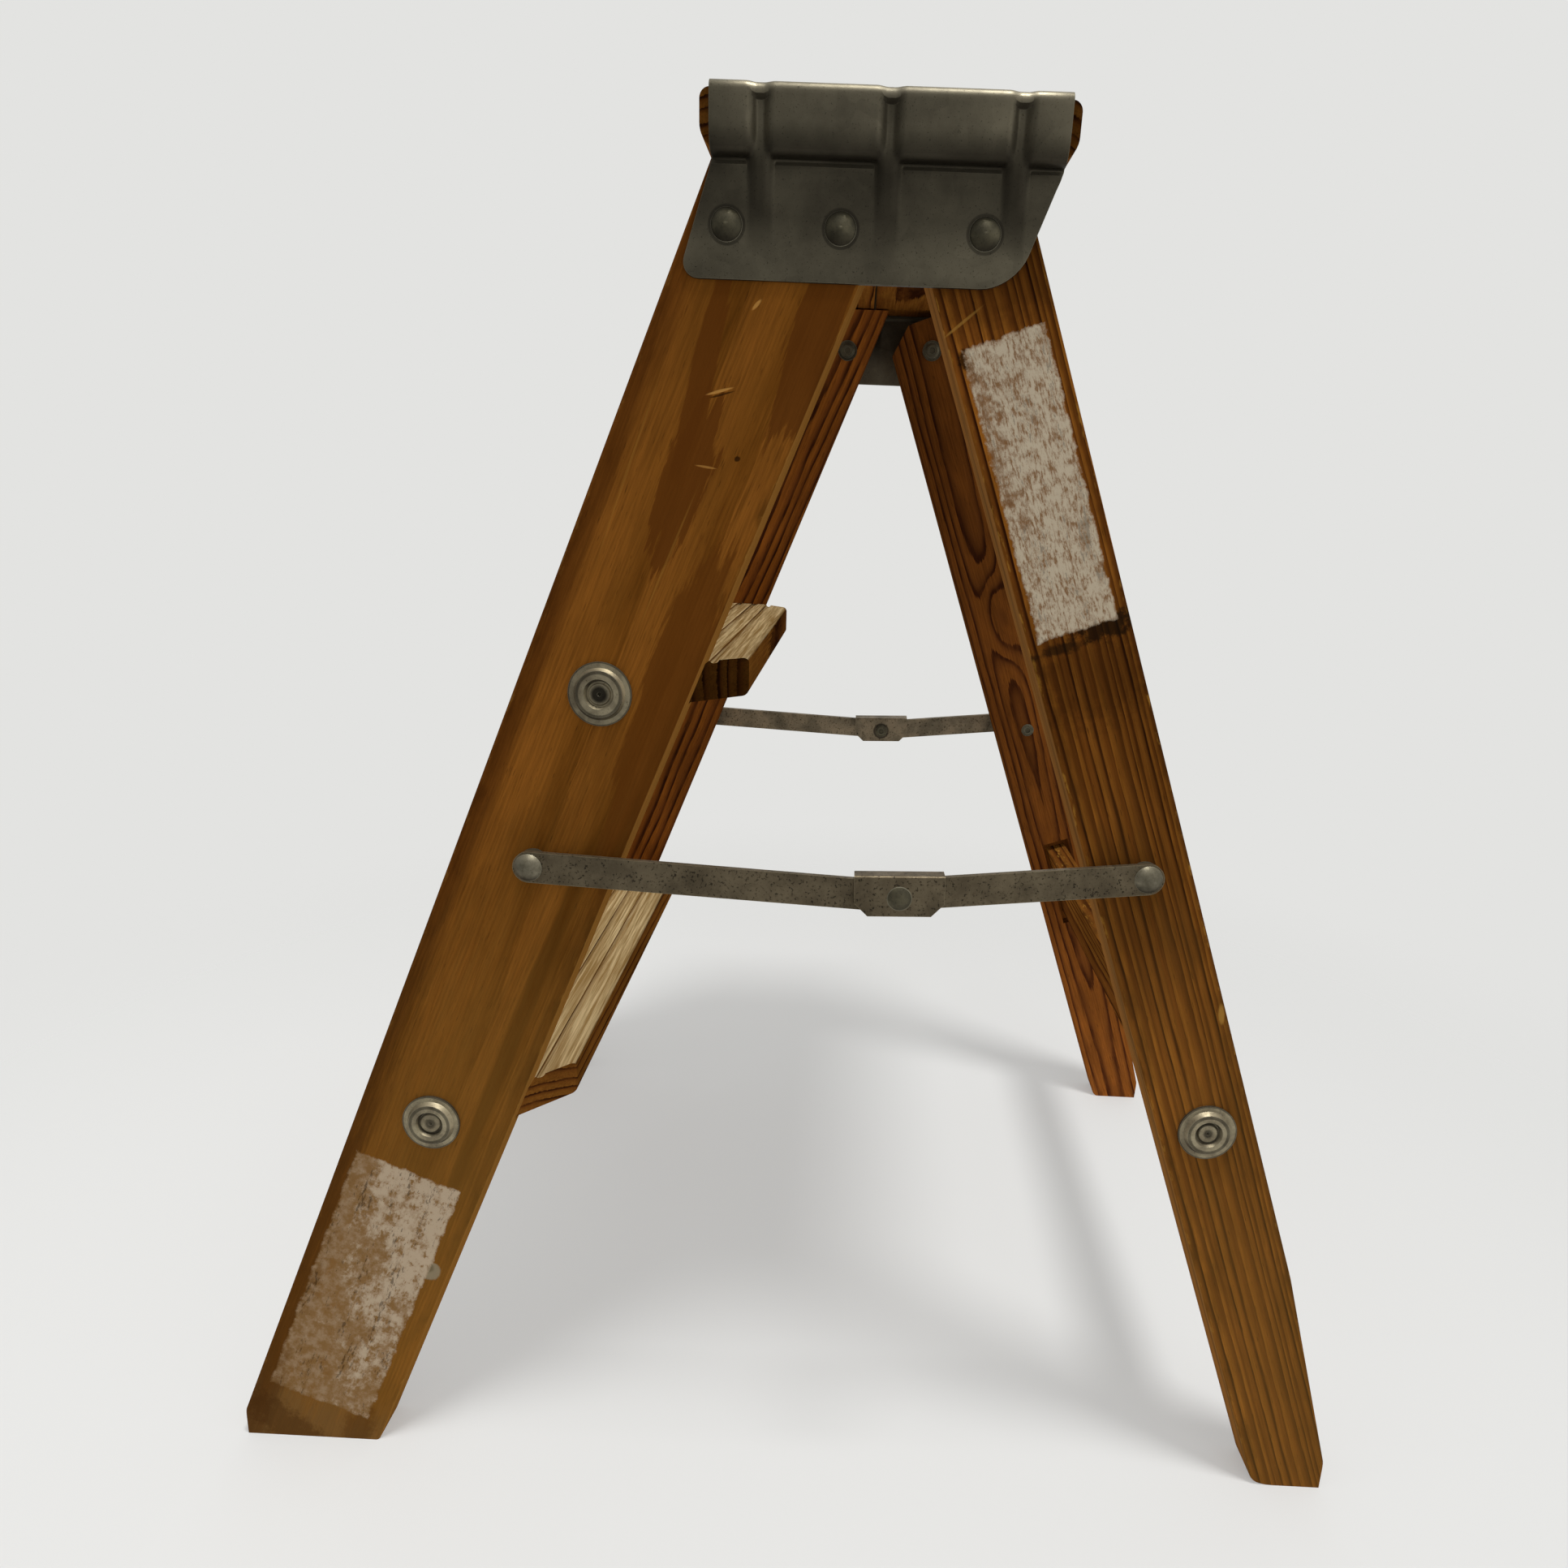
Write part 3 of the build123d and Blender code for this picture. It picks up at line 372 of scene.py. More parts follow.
def pineFinish(name, look, place):
    material, tree, shader = newMaterial(name)
    location, turn = place
    where = addNode(tree, "TexCoord", output="Object")
    local = addNode(tree, "Mapping", {"Vector": where, "Location": location, "Rotation": turn, "Scale": (mm, mm, mm)},
                    vector_type="TEXTURE")
    axes = addNode(tree, "SeparateXYZ", {0: local}).node.outputs      # through, across and along the grain
    sizes = dict(pinePatterns)
    if look["label"]:
        sizes["torn"] = (look["label"]["flake"], *labelLook["torn"])
    pattern = {}
    for index, (kind, (size, detail, rough)) in enumerate(sizes.items()):
        stretched = addNode(tree, "Mapping", {"Vector": local, "Location": (look["seed"] + 7 * index, 3 * index, 0),
                                              "Scale": [1 / s for s in size]})
        pattern[kind] = addNode(tree, "TexNoise", {"Vector": stretched, "Scale": 1.0, "Detail": detail,
                                                   "Roughness": rough})

    # growth rings by their distance from the pith
    centred = addNode(tree, "VectorMath", {0: pattern["drift"].node.outputs["Color"], 1: (0.5, 0.5, 0.5)},
                      operation="SUBTRACT")
    wander = addNode(tree, "VectorMath", {0: centred, 1: (2 * look["wander"][0], 2 * look["wander"][1], 0), 2: local},
                     operation="MULTIPLY_ADD")
    tilted = addNode(tree, "Mapping", {"Vector": wander, "Location": (*look["pith"], 0),
                                       "Rotation": (*[math.radians(a) for a in look["tilt"]], 0)},
                     vector_type="TEXTURE")
    flat = addNode(tree, "VectorMath", {0: tilted, 1: (1, 1, 0)}, operation="MULTIPLY")
    radius = addNode(tree, "VectorMath", {0: flat}, "Value", operation="LENGTH")
    for (y, z), (wide, long), lift in look["knots"]:
        near = addNode(tree, "Mapping", {"Vector": local, "Location": (0, y, z), "Scale": (1, wide, long)},
                       vector_type="TEXTURE")
        near = addNode(tree, "VectorMath", {0: near, 1: (0, 1, 1)}, operation="MULTIPLY")
        near = addNode(tree, "VectorMath", {0: near, 1: near}, "Value", operation="DOT_PRODUCT")
        near = addNode(tree, "Math", {0: near, 1: -1.0}, operation="MULTIPLY")
        near = addNode(tree, "Math", {0: near}, operation="EXPONENT")
        radius = addNode(tree, "Math", {0: near, 1: lift, 2: radius}, operation="MULTIPLY_ADD")
    years = addNode(tree, "Math", {0: radius, 1: look["ringWidth"]}, operation="DIVIDE")
    slow = addNode(tree, "Math", {0: years, 1: pineLook["unevenRate"]}, operation="MULTIPLY")
    uneven = addNode(tree, "TexNoise", {"W": slow, "Scale": 1.0, "Detail": 2.0}, noise_dimensions="1D")
    years = addNode(tree, "Math", {0: uneven, 1: pineLook["unevenYears"], 2: years}, operation="MULTIPLY_ADD")
    years = addNode(tree, "Math", {0: pattern["fibre"], 1: pineLook["fibreYears"], 2: years},
                    operation="MULTIPLY_ADD")
    phase = addNode(tree, "Math", {0: years}, operation="FRACT")
    colour = addNode(tree, "ValToRGB", {0: phase})   # early to late wood
    stops = colour.node.color_ramp.elements
    stops[0].color = stops[1].color = hexColour(look["early"])
    for at, shade in zip(look["bands"], ("early", "middle", "late", "late")):
        stops.new(at).color = hexColour(look[shade])
    weak = addNode(tree, "TexNoise", {"W": years, "Scale": pineLook["weakRate"], "Detail": 1.0}, noise_dimensions="1D")
    for kind, value in (("calm", pattern["patchy"]), ("weak", weak)):     # places and years with hardly a line
        low, high = pineLook[kind]
        amount = addNode(tree, "MapRange", {"Value": value, "From Min": low, "From Max": high, "To Max": look[kind]},
                         **smooth)
        colour = addNode(tree, "Mix", {0: amount, 6: colour, 7: hexColour(look["middle"])}, 2, **rgba)

    # fibres, blotches and the slow change along the board
    tones = [(pattern["fibre"], *pineLook["fibreTone"]), (pattern["blotch"], *pineLook["blotchTone"])]
    if look["fade"]:
        tones.append((axes[2], *look["fade"]))
    for value, low, high, dark, light in tones:
        tone = addNode(tree, "MapRange", {"Value": value, "From Min": low, "From Max": high, "To Min": dark,
                                          "To Max": light}, **smooth)
        tone = addNode(tree, "CombineColor", {0: tone, 1: tone, 2: tone})
        colour = addNode(tree, "Mix", {0: 1.0, 6: colour, 7: tone}, 2, blend_type="MULTIPLY", **rgba)
    low, high, most = pineLook["fleck"]
    fleck = addNode(tree, "MapRange", {"Value": pattern["fleck"], "From Min": low, "From Max": high, "To Max": most},
                    **smooth)
    colour = addNode(tree, "Mix", {0: fleck, 6: colour, 7: hexColour(look["grime"])}, 2, **rgba)
    height = addNode(tree, "Math", {0: phase, 1: pineLook["ringHeight"], 2: pattern["fibre"]}, operation="MULTIPLY_ADD")
    low, high, least, most = pineLook["rough"]
    roughness = addNode(tree, "MapRange", {"Value": pattern["blotch"], "From Min": low, "From Max": high,
                                           "To Min": least, "To Max": most})

    # hand grime towards the long edges of the outer face and varnish chipped off them
    low, high = pineLook["skin"]
    outside = addNode(tree, "MapRange", {"Value": axes[0], "From Min": low, "From Max": high})
    across = addNode(tree, "Math", {0: axes[1], 1: look["middleShift"]}, operation="SUBTRACT")
    across = addNode(tree, "Math", {0: across}, operation="ABSOLUTE")
    edge = addNode(tree, "Math", {0: look["halfWidth"], 1: across}, operation="SUBTRACT")
    for kind, low, high, reach, shade in pineLook["edgeWear"]:
        close = addNode(tree, "MapRange", {"Value": edge, "From Min": pineLook["edgeStart"], "From Max": reach,
                                           "To Min": look["wear"][shade], "To Max": 0.0}, **smooth)
        broken = addNode(tree, "MapRange", {"Value": pattern[kind], "From Min": low, "From Max": high}, **smooth)
        amount = addNode(tree, "Math", {0: close, 1: broken}, operation="MULTIPLY")
        amount = addNode(tree, "Math", {0: amount, 1: outside}, operation="MULTIPLY")
        colour = addNode(tree, "Mix", {0: amount, 6: colour, 7: hexColour(look[shade])}, 2, **rgba)
    height = addNode(tree, "Math", {0: amount, 1: pineLook["chipDepth"], 2: height}, operation="MULTIPLY_ADD")

    # dark heartwood flames, stains, darker patches, nicks and scratches on the outer face, and painted shade in a dent
    for (y, z), (wide, long), angle, shade, strength, ragged, soft, depth in look["marks"]:
        near = addNode(tree, "Mapping", {"Vector": local, "Location": (0, y, z), "Scale": (1, wide, long),
                                         "Rotation": (math.radians(angle), 0, 0)}, vector_type="TEXTURE")
        near = addNode(tree, "VectorMath", {0: near, 1: (0, 1, 1)}, operation="MULTIPLY")
        near = addNode(tree, "VectorMath", {0: near}, "Value", operation="LENGTH")
        ragging = pattern["figure" if long > pineLook["longMark"] else "fray"]
        rim = addNode(tree, "Math", {0: ragging, 1: 0.5}, operation="SUBTRACT")
        near = addNode(tree, "Math", {0: rim, 1: ragged, 2: near}, operation="MULTIPLY_ADD")
        mark = addNode(tree, "MapRange", {"Value": near, "From Min": 1 - soft, "From Max": 1 + soft, "To Min": 1.0,
                                          "To Max": 0.0}, **smooth)
        mark = addNode(tree, "Math", {0: mark, 1: outside}, operation="MULTIPLY")
        amount = addNode(tree, "Math", {0: mark, 1: strength}, operation="MULTIPLY")
        colour = addNode(tree, "Mix", {0: amount, 6: colour, 7: hexColour(shade)}, 2, **rgba)
        if depth:
            height = addNode(tree, "Math", {0: mark, 1: depth, 2: height}, operation="MULTIPLY_ADD")

    # top faces of the steps, scoured pale by feet
    facing = addNode(tree, "NewGeometry", output="Normal")
    worn = look["worn"]
    if worn:
        upward = addNode(tree, "SeparateXYZ", {0: facing}, 2)
        low, high = worn["upward"]
        upward = addNode(tree, "MapRange", {"Value": upward, "From Min": low, "From Max": high}, **smooth)
        low, high = worn["streak"]
        streak = addNode(tree, "MapRange", {"Value": pattern["streak"], "From Min": low, "From Max": high}, **smooth)
        dark = hexColour(worn["dark"])
        pale = addNode(tree, "Mix", {0: streak, 6: dark, 7: hexColour(worn["pale"])}, 2, **rgba)
        low, high, most = worn["late"]
        late = addNode(tree, "MapRange", {"Value": phase, "From Min": low, "From Max": high, "To Max": most}, **smooth)
        pale = addNode(tree, "Mix", {0: late, 6: pale, 7: dark}, 2, **rgba)
        colour = addNode(tree, "Mix", {0: upward, 6: colour, 7: pale}, 2, **rgba)
        roughness = addNode(tree, "Mix", {0: upward, 2: roughness, 3: worn["rough"]})

    # torn remains of a blank paper label: a thin brown film, pale paper on part of it, dark specks of dirt
    if look["label"]:
        label = look["label"]
        reach = labelLook["frayReach"]
        frayed = addNode(tree, "Math", {0: pattern["fray"], 1: reach, 2: -reach / 2}, operation="MULTIPLY_ADD")
        cover = 0.0
        for kind, share in labelLook["shares"].items():
            cover = addNode(tree, "Math", {0: pattern[kind], 1: share, 2: cover}, operation="MULTIPLY_ADD")
        margins = []
        for axis in (0, 1):
            half = (label["high"][axis] - label["low"][axis]) / 2
            off = addNode(tree, "Math", {0: axes[axis + 1], 1: label["low"][axis] + half}, operation="SUBTRACT")
            cover = addNode(tree, "Math", {0: off, 1: label["bias"][axis], 2: cover}, operation="MULTIPLY_ADD")
            off = addNode(tree, "Math", {0: off}, operation="ABSOLUTE")
            margins.append(addNode(tree, "Math", {0: half, 1: off}, operation="SUBTRACT"))
        margin = addNode(tree, "Math", {0: margins[0], 1: margins[1]}, operation="MINIMUM")
        margin = addNode(tree, "Math", {0: margin, 1: frayed}, operation="ADD")
        low, high = labelLook["rim"]
        inside = addNode(tree, "MapRange", {"Value": margin, "From Min": low, "From Max": high})
        inside = addNode(tree, "Math", {0: inside, 1: outside}, operation="MULTIPLY")
        low, high, least, most = labelLook["film"]
        film = addNode(tree, "MapRange", {"Value": cover, "From Min": low, "From Max": high, "To Min": least,
                                          "To Max": most}, **smooth)
        film = addNode(tree, "Math", {0: film, 1: inside}, operation="MULTIPLY")
        thin, paper = hexColour(label["thin"]), hexColour(label["paper"])
        low, high, most = labelLook["haze"]
        haze = addNode(tree, "MapRange", {"Value": pattern["fray"], "From Min": low, "From Max": high, "To Max": most},
                       **smooth)
        haze = addNode(tree, "Mix", {0: haze, 6: thin, 7: paper}, 2, **rgba)
        colour = addNode(tree, "Mix", {0: film, 6: colour, 7: haze}, 2, **rgba)
        low, high = 1 - label["cover"] - labelLook["soft"][0], 1 - label["cover"] + labelLook["soft"][1]
        solid = addNode(tree, "MapRange", {"Value": cover, "From Min": low, "From Max": high,
                                           "To Max": labelLook["solid"]}, **smooth)
        solid = addNode(tree, "Math", {0: solid, 1: inside}, operation="MULTIPLY")
        rub = 0.0
        for kind in ("fray", "scraped"):
            rub = addNode(tree, "Math", {0: pattern[kind], 1: label["rub"][kind], 2: rub}, operation="MULTIPLY_ADD")
        low, high = label["rub"]["range"]
        rub = addNode(tree, "MapRange", {"Value": rub, "From Min": low, "From Max": high}, **smooth)
        sheet = addNode(tree, "Mix", {0: rub, 6: thin, 7: paper}, 2, **rgba)
        colour = addNode(tree, "Mix", {0: solid, 6: colour, 7: sheet}, 2, **rgba)
        dirt = addNode(tree, "Math", {0: pattern["patchy"], 1: labelLook["dirtShare"], 2: pattern["scraped"]},
                       operation="MULTIPLY_ADD")
        low, high = labelLook["dirt"]
        specks = addNode(tree, "MapRange", {"Value": dirt, "From Min": low, "From Max": high,
                                            "To Max": label["specks"]}, **smooth)
        specks = addNode(tree, "Math", {0: specks, 1: inside}, operation="MULTIPLY")
        colour = addNode(tree, "Mix", {0: specks, 6: colour, 7: hexColour(look["grime"])}, 2, **rgba)
        roughness = addNode(tree, "Mix", {0: film, 2: roughness, 3: labelLook["rough"]})
        height = addNode(tree, "Math", {0: solid, 1: labelLook["rise"], 2: height}, operation="MULTIPLY_ADD")

    # end grain drinks the varnish and goes darker; the upper step's end is darker still with painted shade
    width, length = turn.to_matrix().col[1], turn.to_matrix().col[2]
    endOn = addNode(tree, "VectorMath", {0: facing, 1: length}, "Value", operation="DOT_PRODUCT")
    endOn = addNode(tree, "Math", {0: endOn}, operation="ABSOLUTE")
    low, high = pineLook["endOn"]
    tone = addNode(tree, "MapRange", {"Value": endOn, "From Min": low, "From Max": high, "To Min": 1.0,
                                      "To Max": look["endShade"]}, **smooth)
    tone = addNode(tree, "VectorMath", {0: (1, 1, 1), "Scale": tone}, operation="SCALE")
    colour = addNode(tree, "Mix", {0: 1.0, 6: colour, 7: tone}, 2, blend_type="MULTIPLY", **rgba)
    # narrow sides lightened towards the side colour: rubbed bare on the near rail's rear side, painted reflected light
    # on the near leg's front side
    low, high = pineLook["sideOn"]
    for axis, strength in ((-width, look["sides"][0]), (width, look["sides"][1])):
        if strength:
            sideOn = addNode(tree, "VectorMath", {0: facing, 1: axis}, "Value", operation="DOT_PRODUCT")
            amount = addNode(tree, "MapRange", {"Value": sideOn, "From Min": low, "From Max": high, "To Max": strength})
            amount = addNode(tree, "Math", {0: amount, 1: pattern["streak"]}, operation="MULTIPLY")
            amount = addNode(tree, "Math", {0: amount, 1: pineLook["sideShare"]}, operation="MULTIPLY", use_clamp=True)
            colour = addNode(tree, "Mix", {0: amount, 6: colour, 7: hexColour(look["bareAndReflectedSide"])}, 2, **rgba)
    bump = addNode(tree, "Bump", {"Height": height, "Strength": pineLook["bump"],
                                  "Distance": pineLook["bumpReach"] * mm})
    tree.links.new(colour, shader.inputs["Base Color"])
    tree.links.new(roughness, shader.inputs["Roughness"])
    tree.links.new(bump, shader.inputs["Normal"])
    shader.inputs["Specular IOR Level"].default_value = 0.0   # the varnish is rubbed dull
    return material


nearRail = sideFrame(1, railLean, (railBox[1].x, railMiddle, 0))
farRail = sideFrame(-1, railLean, (railBox[1].x, railMiddle, 0))
nearLeg = sideFrame(1, -legLean, (legFace, pivot.y, pivot.z))
farLeg = sideFrame(-1, -legLean, (legFace, pivot.y, pivot.z))
dress(pineFinish("varnishedPineRailRight", railLook, nearRail), "front_rail_right")
dress(pineFinish("varnishedPineRailLeft", farRailLook, farRail), "front_rail_left")
dress(pineFinish("varnishedPineLegRight", nearLegLook, nearLeg), "rear_leg_right")
dress(pineFinish("varnishedPineLegLeft", farLegLook, farLeg), "rear_leg_left")


def acrossFrame(name, normal, faceUp=True):  # frame of a board that runs from side to side
    low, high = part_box(name)
    middle = (low + high) / 2
    return grainFrame((0, middle.y, high.z if faceUp else middle.z), (1, 0, 0), normal)


barNormal = (0, -math.cos(math.radians(legLean)), -math.sin(math.radians(legLean)))
dress(pineFinish("varnishedPineBar", barLook, acrossFrame("rear_bar", barNormal, False)), "rear_bar")
dress(pineFinish("varnishedPineTopFront", topLook, acrossFrame("top_board_front", (0, 0, 1))), "top_board_front")
dress(pineFinish("varnishedPineTopRear", dict(topLook, seed=47.0), acrossFrame("top_board_rear", (0, 0, 1))),
      "top_board_rear")
# the upper step's end is painted much darker: end grain and painted shade
upperLook = dict(stepLook, endShade=0.3, pith=(-10, -180))     # its end shows upright lines
dress(pineFinish("wornPineUpperStep", upperLook, acrossFrame("upper_step", (0, 0, 1))), "upper_step")
dress(pineFinish("wornPineLowerStep", dict(stepLook, seed=53.0), acrossFrame("lower_step", (0, 0, 1))), "lower_step")
print("pine finishes done")

# Galvanised sheet steel gone dull: faint spangle, handling smudges, dark pits and a soft broken sheen.
sheetLook = {"bright": "#79725f", "dull": "#5e5849", "stainAndShade": "#241f17", "edge": "#9a947f", "spangle": 7.0, "pit": 0.7,
             "smudge": 34.0, "pitted": (0.60, 0.70, 0.7), "rough": (0.42, 0.56), "greaseAndShadeColour": "#0c0a07", "hollows": [],
             "ribs": None}
# What the patterns do on every steel piece, with reaches in millimetres
steelLook = {"smudge": (0.30, 0.70), "flake": (0.93, 1.06), "greaseCore": 0.5, "ribEnd": 6.0, "ribRim": 0.7,
             "edgeReach": 0.5, "edge": (0.80, 0.97, 0.75), "under": (-0.12, -0.6, 0.75), "bump": 0.18,
             "bumpReach": 0.15, "metallic": 0.85}
# Strip steel of the links, browner from old oil
linkLook = dict(sheetLook, bright="#84775f", dull="#645946", edge="#b3a586", spangle=5.0, pit=1.3,
                smudge=14.0, pitted=(0.56, 0.64, 0.8))
farKnuckle = Vector(next(j["pos_m"] for j in frame["joints"] if j["name"] == "knuckle_turn_left"))
farLinkPaintedLightLook = dict(linkLook, bright="#93836a", dull="#6b6250",    # painted lighter than the near links, for the light on their lit faces
                   hollows=[(farKnuckle, 4.6, 1.2, 0.7)])
# Plated rivet steel, rubbed brighter on the crowns
rivetLook = dict(sheetLook, bright="#69634f", dull="#4e4a3c", spangle=4.0, smudge=6.0, rough=(0.48, 0.60))
stayRivetLook = dict(rivetLook, bright="#8f8874", dull="#6a6453")     # crowns rubbed by the hands that fold the stool
# Zinc plated washers and drawn rod
upperRod, lowerRod, rearRod = (sum(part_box(rod), Vector()) / 2
                               for rod in ("upper_step_rod", "lower_step_rod", "rear_rod"))
# A hollow is: middle, radius of the dark ring, its reach and strength
# the washers' dark rings are painted shade round the rod, in the grooves and at the outer rims
washerLook = dict(sheetLook, bright="#baae90", dull="#837862", spangle=4.0, smudge=9.0, rough=(0.44, 0.56),
                  hollows=[(upperRod, 0, 4.6, 0.92), (lowerRod, 0, 3.0, 0.6), (rearRod, 0, 2.6, 0.7),
                           (upperRod, 8.6, 0.9, 0.6), (lowerRod, 8.3, 0.9, 0.6), (rearRod, 8.3, 0.9, 0.6),
                           (lowerRod, 4.9, 0.7, 0.6), (rearRod, 4.4, 0.8, 0.7), (upperRod, 12.6, 0.9, 0.7),
                           (lowerRod, 12.6, 0.9, 0.7), (rearRod, 12.6, 0.9, 0.7)])


def steelFinish(name, look):
    material, tree, shader = newMaterial(name)
    where = addNode(tree, "TexCoord", output="Object")
    pattern = {}
    for kind, node, inputs in (("smudge", "TexNoise", {"Detail": 5.0, "Roughness": 0.62}),
                               ("spangle", "TexVoronoi", {"Randomness": 1.0}),
                               ("pit", "TexNoise", {"Detail": 3.0, "Roughness": 0.7})):
        scaled = addNode(tree, "Mapping", {"Vector": where, "Scale": [1 / (look[kind] * mm)] * 3})
        pattern[kind] = addNode(tree, node, {"Vector": scaled, "Scale": 1.0, **inputs})
    low, high = steelLook["smudge"]
    smudge = addNode(tree, "MapRange", {"Value": pattern["smudge"], "From Min": low, "From Max": high}, **smooth)
    tone = addNode(tree, "Mix", {0: smudge, 6: hexColour(look["dull"]), 7: hexColour(look["bright"])}, 2, **rgba)
    flake = addNode(tree, "SeparateColor", {0: pattern["spangle"].node.outputs["Color"]})
    least, most = steelLook["flake"]
    flake = addNode(tree, "MapRange", {"Value": flake, "To Min": least, "To Max": most})
    flake = addNode(tree, "CombineColor", {0: flake, 1: flake, 2: flake})
    tone = addNode(tree, "Mix", {0: 1.0, 6: tone, 7: flake}, 2, blend_type="MULTIPLY", **rgba)
    low, high, most = look["pitted"]
    pits = addNode(tree, "MapRange", {"Value": pattern["pit"], "From Min": low, "From Max": high, "To Max": most},
                   **smooth)
    tone = addNode(tree, "Mix", {0: pits, 6: tone, 7: hexColour(look["stainAndShade"])}, 2, **rgba)
    for middle, radius, reach, strength in look["hollows"]:     # dark rings: painted shade round the rods, in the washers' grooves and rims and round rivet heads; grease at the far knuckle
        near = addNode(tree, "VectorMath", {0: where, 1: middle}, operation="SUBTRACT")
        near = addNode(tree, "VectorMath", {0: near, 1: (0, 1 / mm, 1 / mm)}, operation="MULTIPLY")
        near = addNode(tree, "VectorMath", {0: near}, "Value", operation="LENGTH")
        near = addNode(tree, "Math", {0: near, 1: radius}, operation="SUBTRACT")
        near = addNode(tree, "Math", {0: near}, operation="ABSOLUTE")
        core = reach * steelLook["greaseCore"]
        greaseAndShade = addNode(tree, "MapRange", {"Value": near, "From Min": core, "From Max": reach, "To Min": strength,
                                            "To Max": 0.0}, **smooth)
        tone = addNode(tree, "Mix", {0: greaseAndShade, 6: tone, 7: hexColour(look["greaseAndShadeColour"])}, 2, **rgba)
    if look["ribs"]:     # painted shade in the pressed channels, on the gussets below them and in a band under the overhang
        axes = addNode(tree, "SeparateXYZ", {0: where}).node.outputs
        low, high = look["ribs"]["levels"]
        for level, side in ((low, 1), (high, -1)):
            off = addNode(tree, "Math", {0: axes[2], 1: level}, operation="SUBTRACT")
            run = side * steelLook["ribEnd"] * mm
            ends = addNode(tree, "MapRange", {"Value": off, "From Min": -run, "From Max": run})
            within = ends if side > 0 else addNode(tree, "Math", {0: within, 1: ends}, operation="MULTIPLY")
        for place, half, strength in look["ribs"]["bands"]:
            off = addNode(tree, "Math", {0: axes[1], 1: place}, operation="SUBTRACT")
            off = addNode(tree, "Math", {0: off}, operation="ABSOLUTE")
            low, high = (half - steelLook["ribRim"]) * mm, (half + steelLook["ribRim"]) * mm
            band = addNode(tree, "MapRange", {"Value": off, "From Min": low, "From Max": high, "To Min": strength,
                                              "To Max": 0.0})
            band = addNode(tree, "Math", {0: band, 1: within}, operation="MULTIPLY")
            tone = addNode(tree, "Mix", {0: band, 6: tone, 7: hexColour(look["stainAndShade"])}, 2, **rgba)
    facing = addNode(tree, "NewGeometry", output="Normal")
    upward = addNode(tree, "SeparateXYZ", {0: facing}, 2)
    low, high, most = steelLook["under"]       # painted shade on faces that look down
    under = addNode(tree, "MapRange", {"Value": upward, "From Min": low, "From Max": high, "To Max": most})
    tone = addNode(tree, "Mix", {0: under, 6: tone, 7: hexColour(look["stainAndShade"])}, 2, **rgba)
    rounded = addNode(tree, "Bevel", {"Radius": steelLook["edgeReach"] * mm})      # edges painted brighter: rubbed by handling, and a painted highlight where they catch the light
    flush = addNode(tree, "VectorMath", {0: rounded, 1: facing}, "Value", operation="DOT_PRODUCT")
    low, high, most = steelLook["edge"]
    rubbedAndHighlit = addNode(tree, "MapRange", {"Value": flush, "From Min": low, "From Max": high, "To Min": most,
                                        "To Max": 0.0})
    tone = addNode(tree, "Mix", {0: rubbedAndHighlit, 6: tone, 7: hexColour(look["edge"])}, 2, **rgba)
    sheen = addNode(tree, "MapRange", {"Value": smudge, "To Min": look["rough"][1], "To Max": look["rough"][0]})
    bump = addNode(tree, "Bump", {"Height": pattern["pit"], "Strength": steelLook["bump"],
                                  "Distance": steelLook["bumpReach"] * mm})
    tree.links.new(tone, shader.inputs["Base Color"])
    tree.links.new(sheen, shader.inputs["Roughness"])
    tree.links.new(bump, shader.inputs["Normal"])
    shader.inputs["Metallic"].default_value = steelLook["metallic"]
    return material


# Painted shade on the bracket: in the channels and on the gussets, in a band under the overhang where its shadow falls,
# and round the rivet heads
paintedShadeLook = {"channelHalf": 4.1, "channel": 0.45, "overhang": 0.46, "top": 18.0, "below": 7.0, "headGap": 0.2,
            "headReach": 1.0, "head": 0.5}
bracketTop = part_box("top_bracket_right")[1]
middleY = bracketTop.y - bracketLook["width"] / 2 * mm
ribLook = {"bands": [(middleY + channel * mm, paintedShadeLook["channelHalf"], paintedShadeLook["channel"])
                     for channel in bracketLook["channels"]],
           "levels": (bracketTop.z - (bracketLook["gussetFoot"] + paintedShadeLook["below"]) * mm,
                      bracketTop.z - paintedShadeLook["top"] * mm)}
# the wide band under the overhang is a painted shadow
ribLook["bands"].append((middleY, bracketLook["width"], paintedShadeLook["overhang"]))
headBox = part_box("leg_pivot_rivets")
headRadius = (headBox[1].y - headBox[0].y) / 2
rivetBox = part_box("bracket_rivets")
rivets = [Vector((0, y, pivot.z)) for y in (rivetBox[0].y + headRadius, rivetBox[1].y - headRadius, pivot.y)]
# painted contact shade: a dark ring round each rivet head where it meets the sheet
headShade = [(rivet, headRadius / mm + paintedShadeLook["headGap"], paintedShadeLook["headReach"], paintedShadeLook["head"])
             for rivet in rivets]
sheetSteel = steelFinish("galvanisedSheetSteel", dict(sheetLook, ribs=ribLook, hollows=headShade))
for piece in (bracketRight, bracketLeft):
    piece.data.materials.clear()
    piece.data.materials.append(sheetSteel)
dress(sheetSteel, "top_bracket_right", "top_bracket_left")
dress(steelFinish("galvanisedStripSteel", linkLook), "front_link_right", "rear_link_right", "knuckle_saddle_right")
dress(steelFinish("galvanisedStripSteelFarPaintedLight", farLinkPaintedLightLook), "front_link_left", "rear_link_left", "knuckle_saddle_left")
dress(steelFinish("platedRivetSteel", dict(rivetLook, hollows=headShade)), "top_nails", "bracket_rivets",
      "bracket_rivet_burrs", "leg_pivot_rivets", "leg_pivot_burrs", "leg_pivot_spacers", "stay_front_spacers",
      "stay_rear_posts", "knuckle_rivet_right", "knuckle_rivet_left")
dress(steelFinish("platedStayRivets", stayRivetLook), "stay_front_rivets", "stay_rear_rivet_right",
      "stay_rear_rivet_left")
dress(steelFinish("zincPlatedRodSteel", washerLook), "upper_step_rod", "lower_step_rod", "rear_rod",
      "step_rod_washers", "rear_rod_washers")
print("steel finishes done")

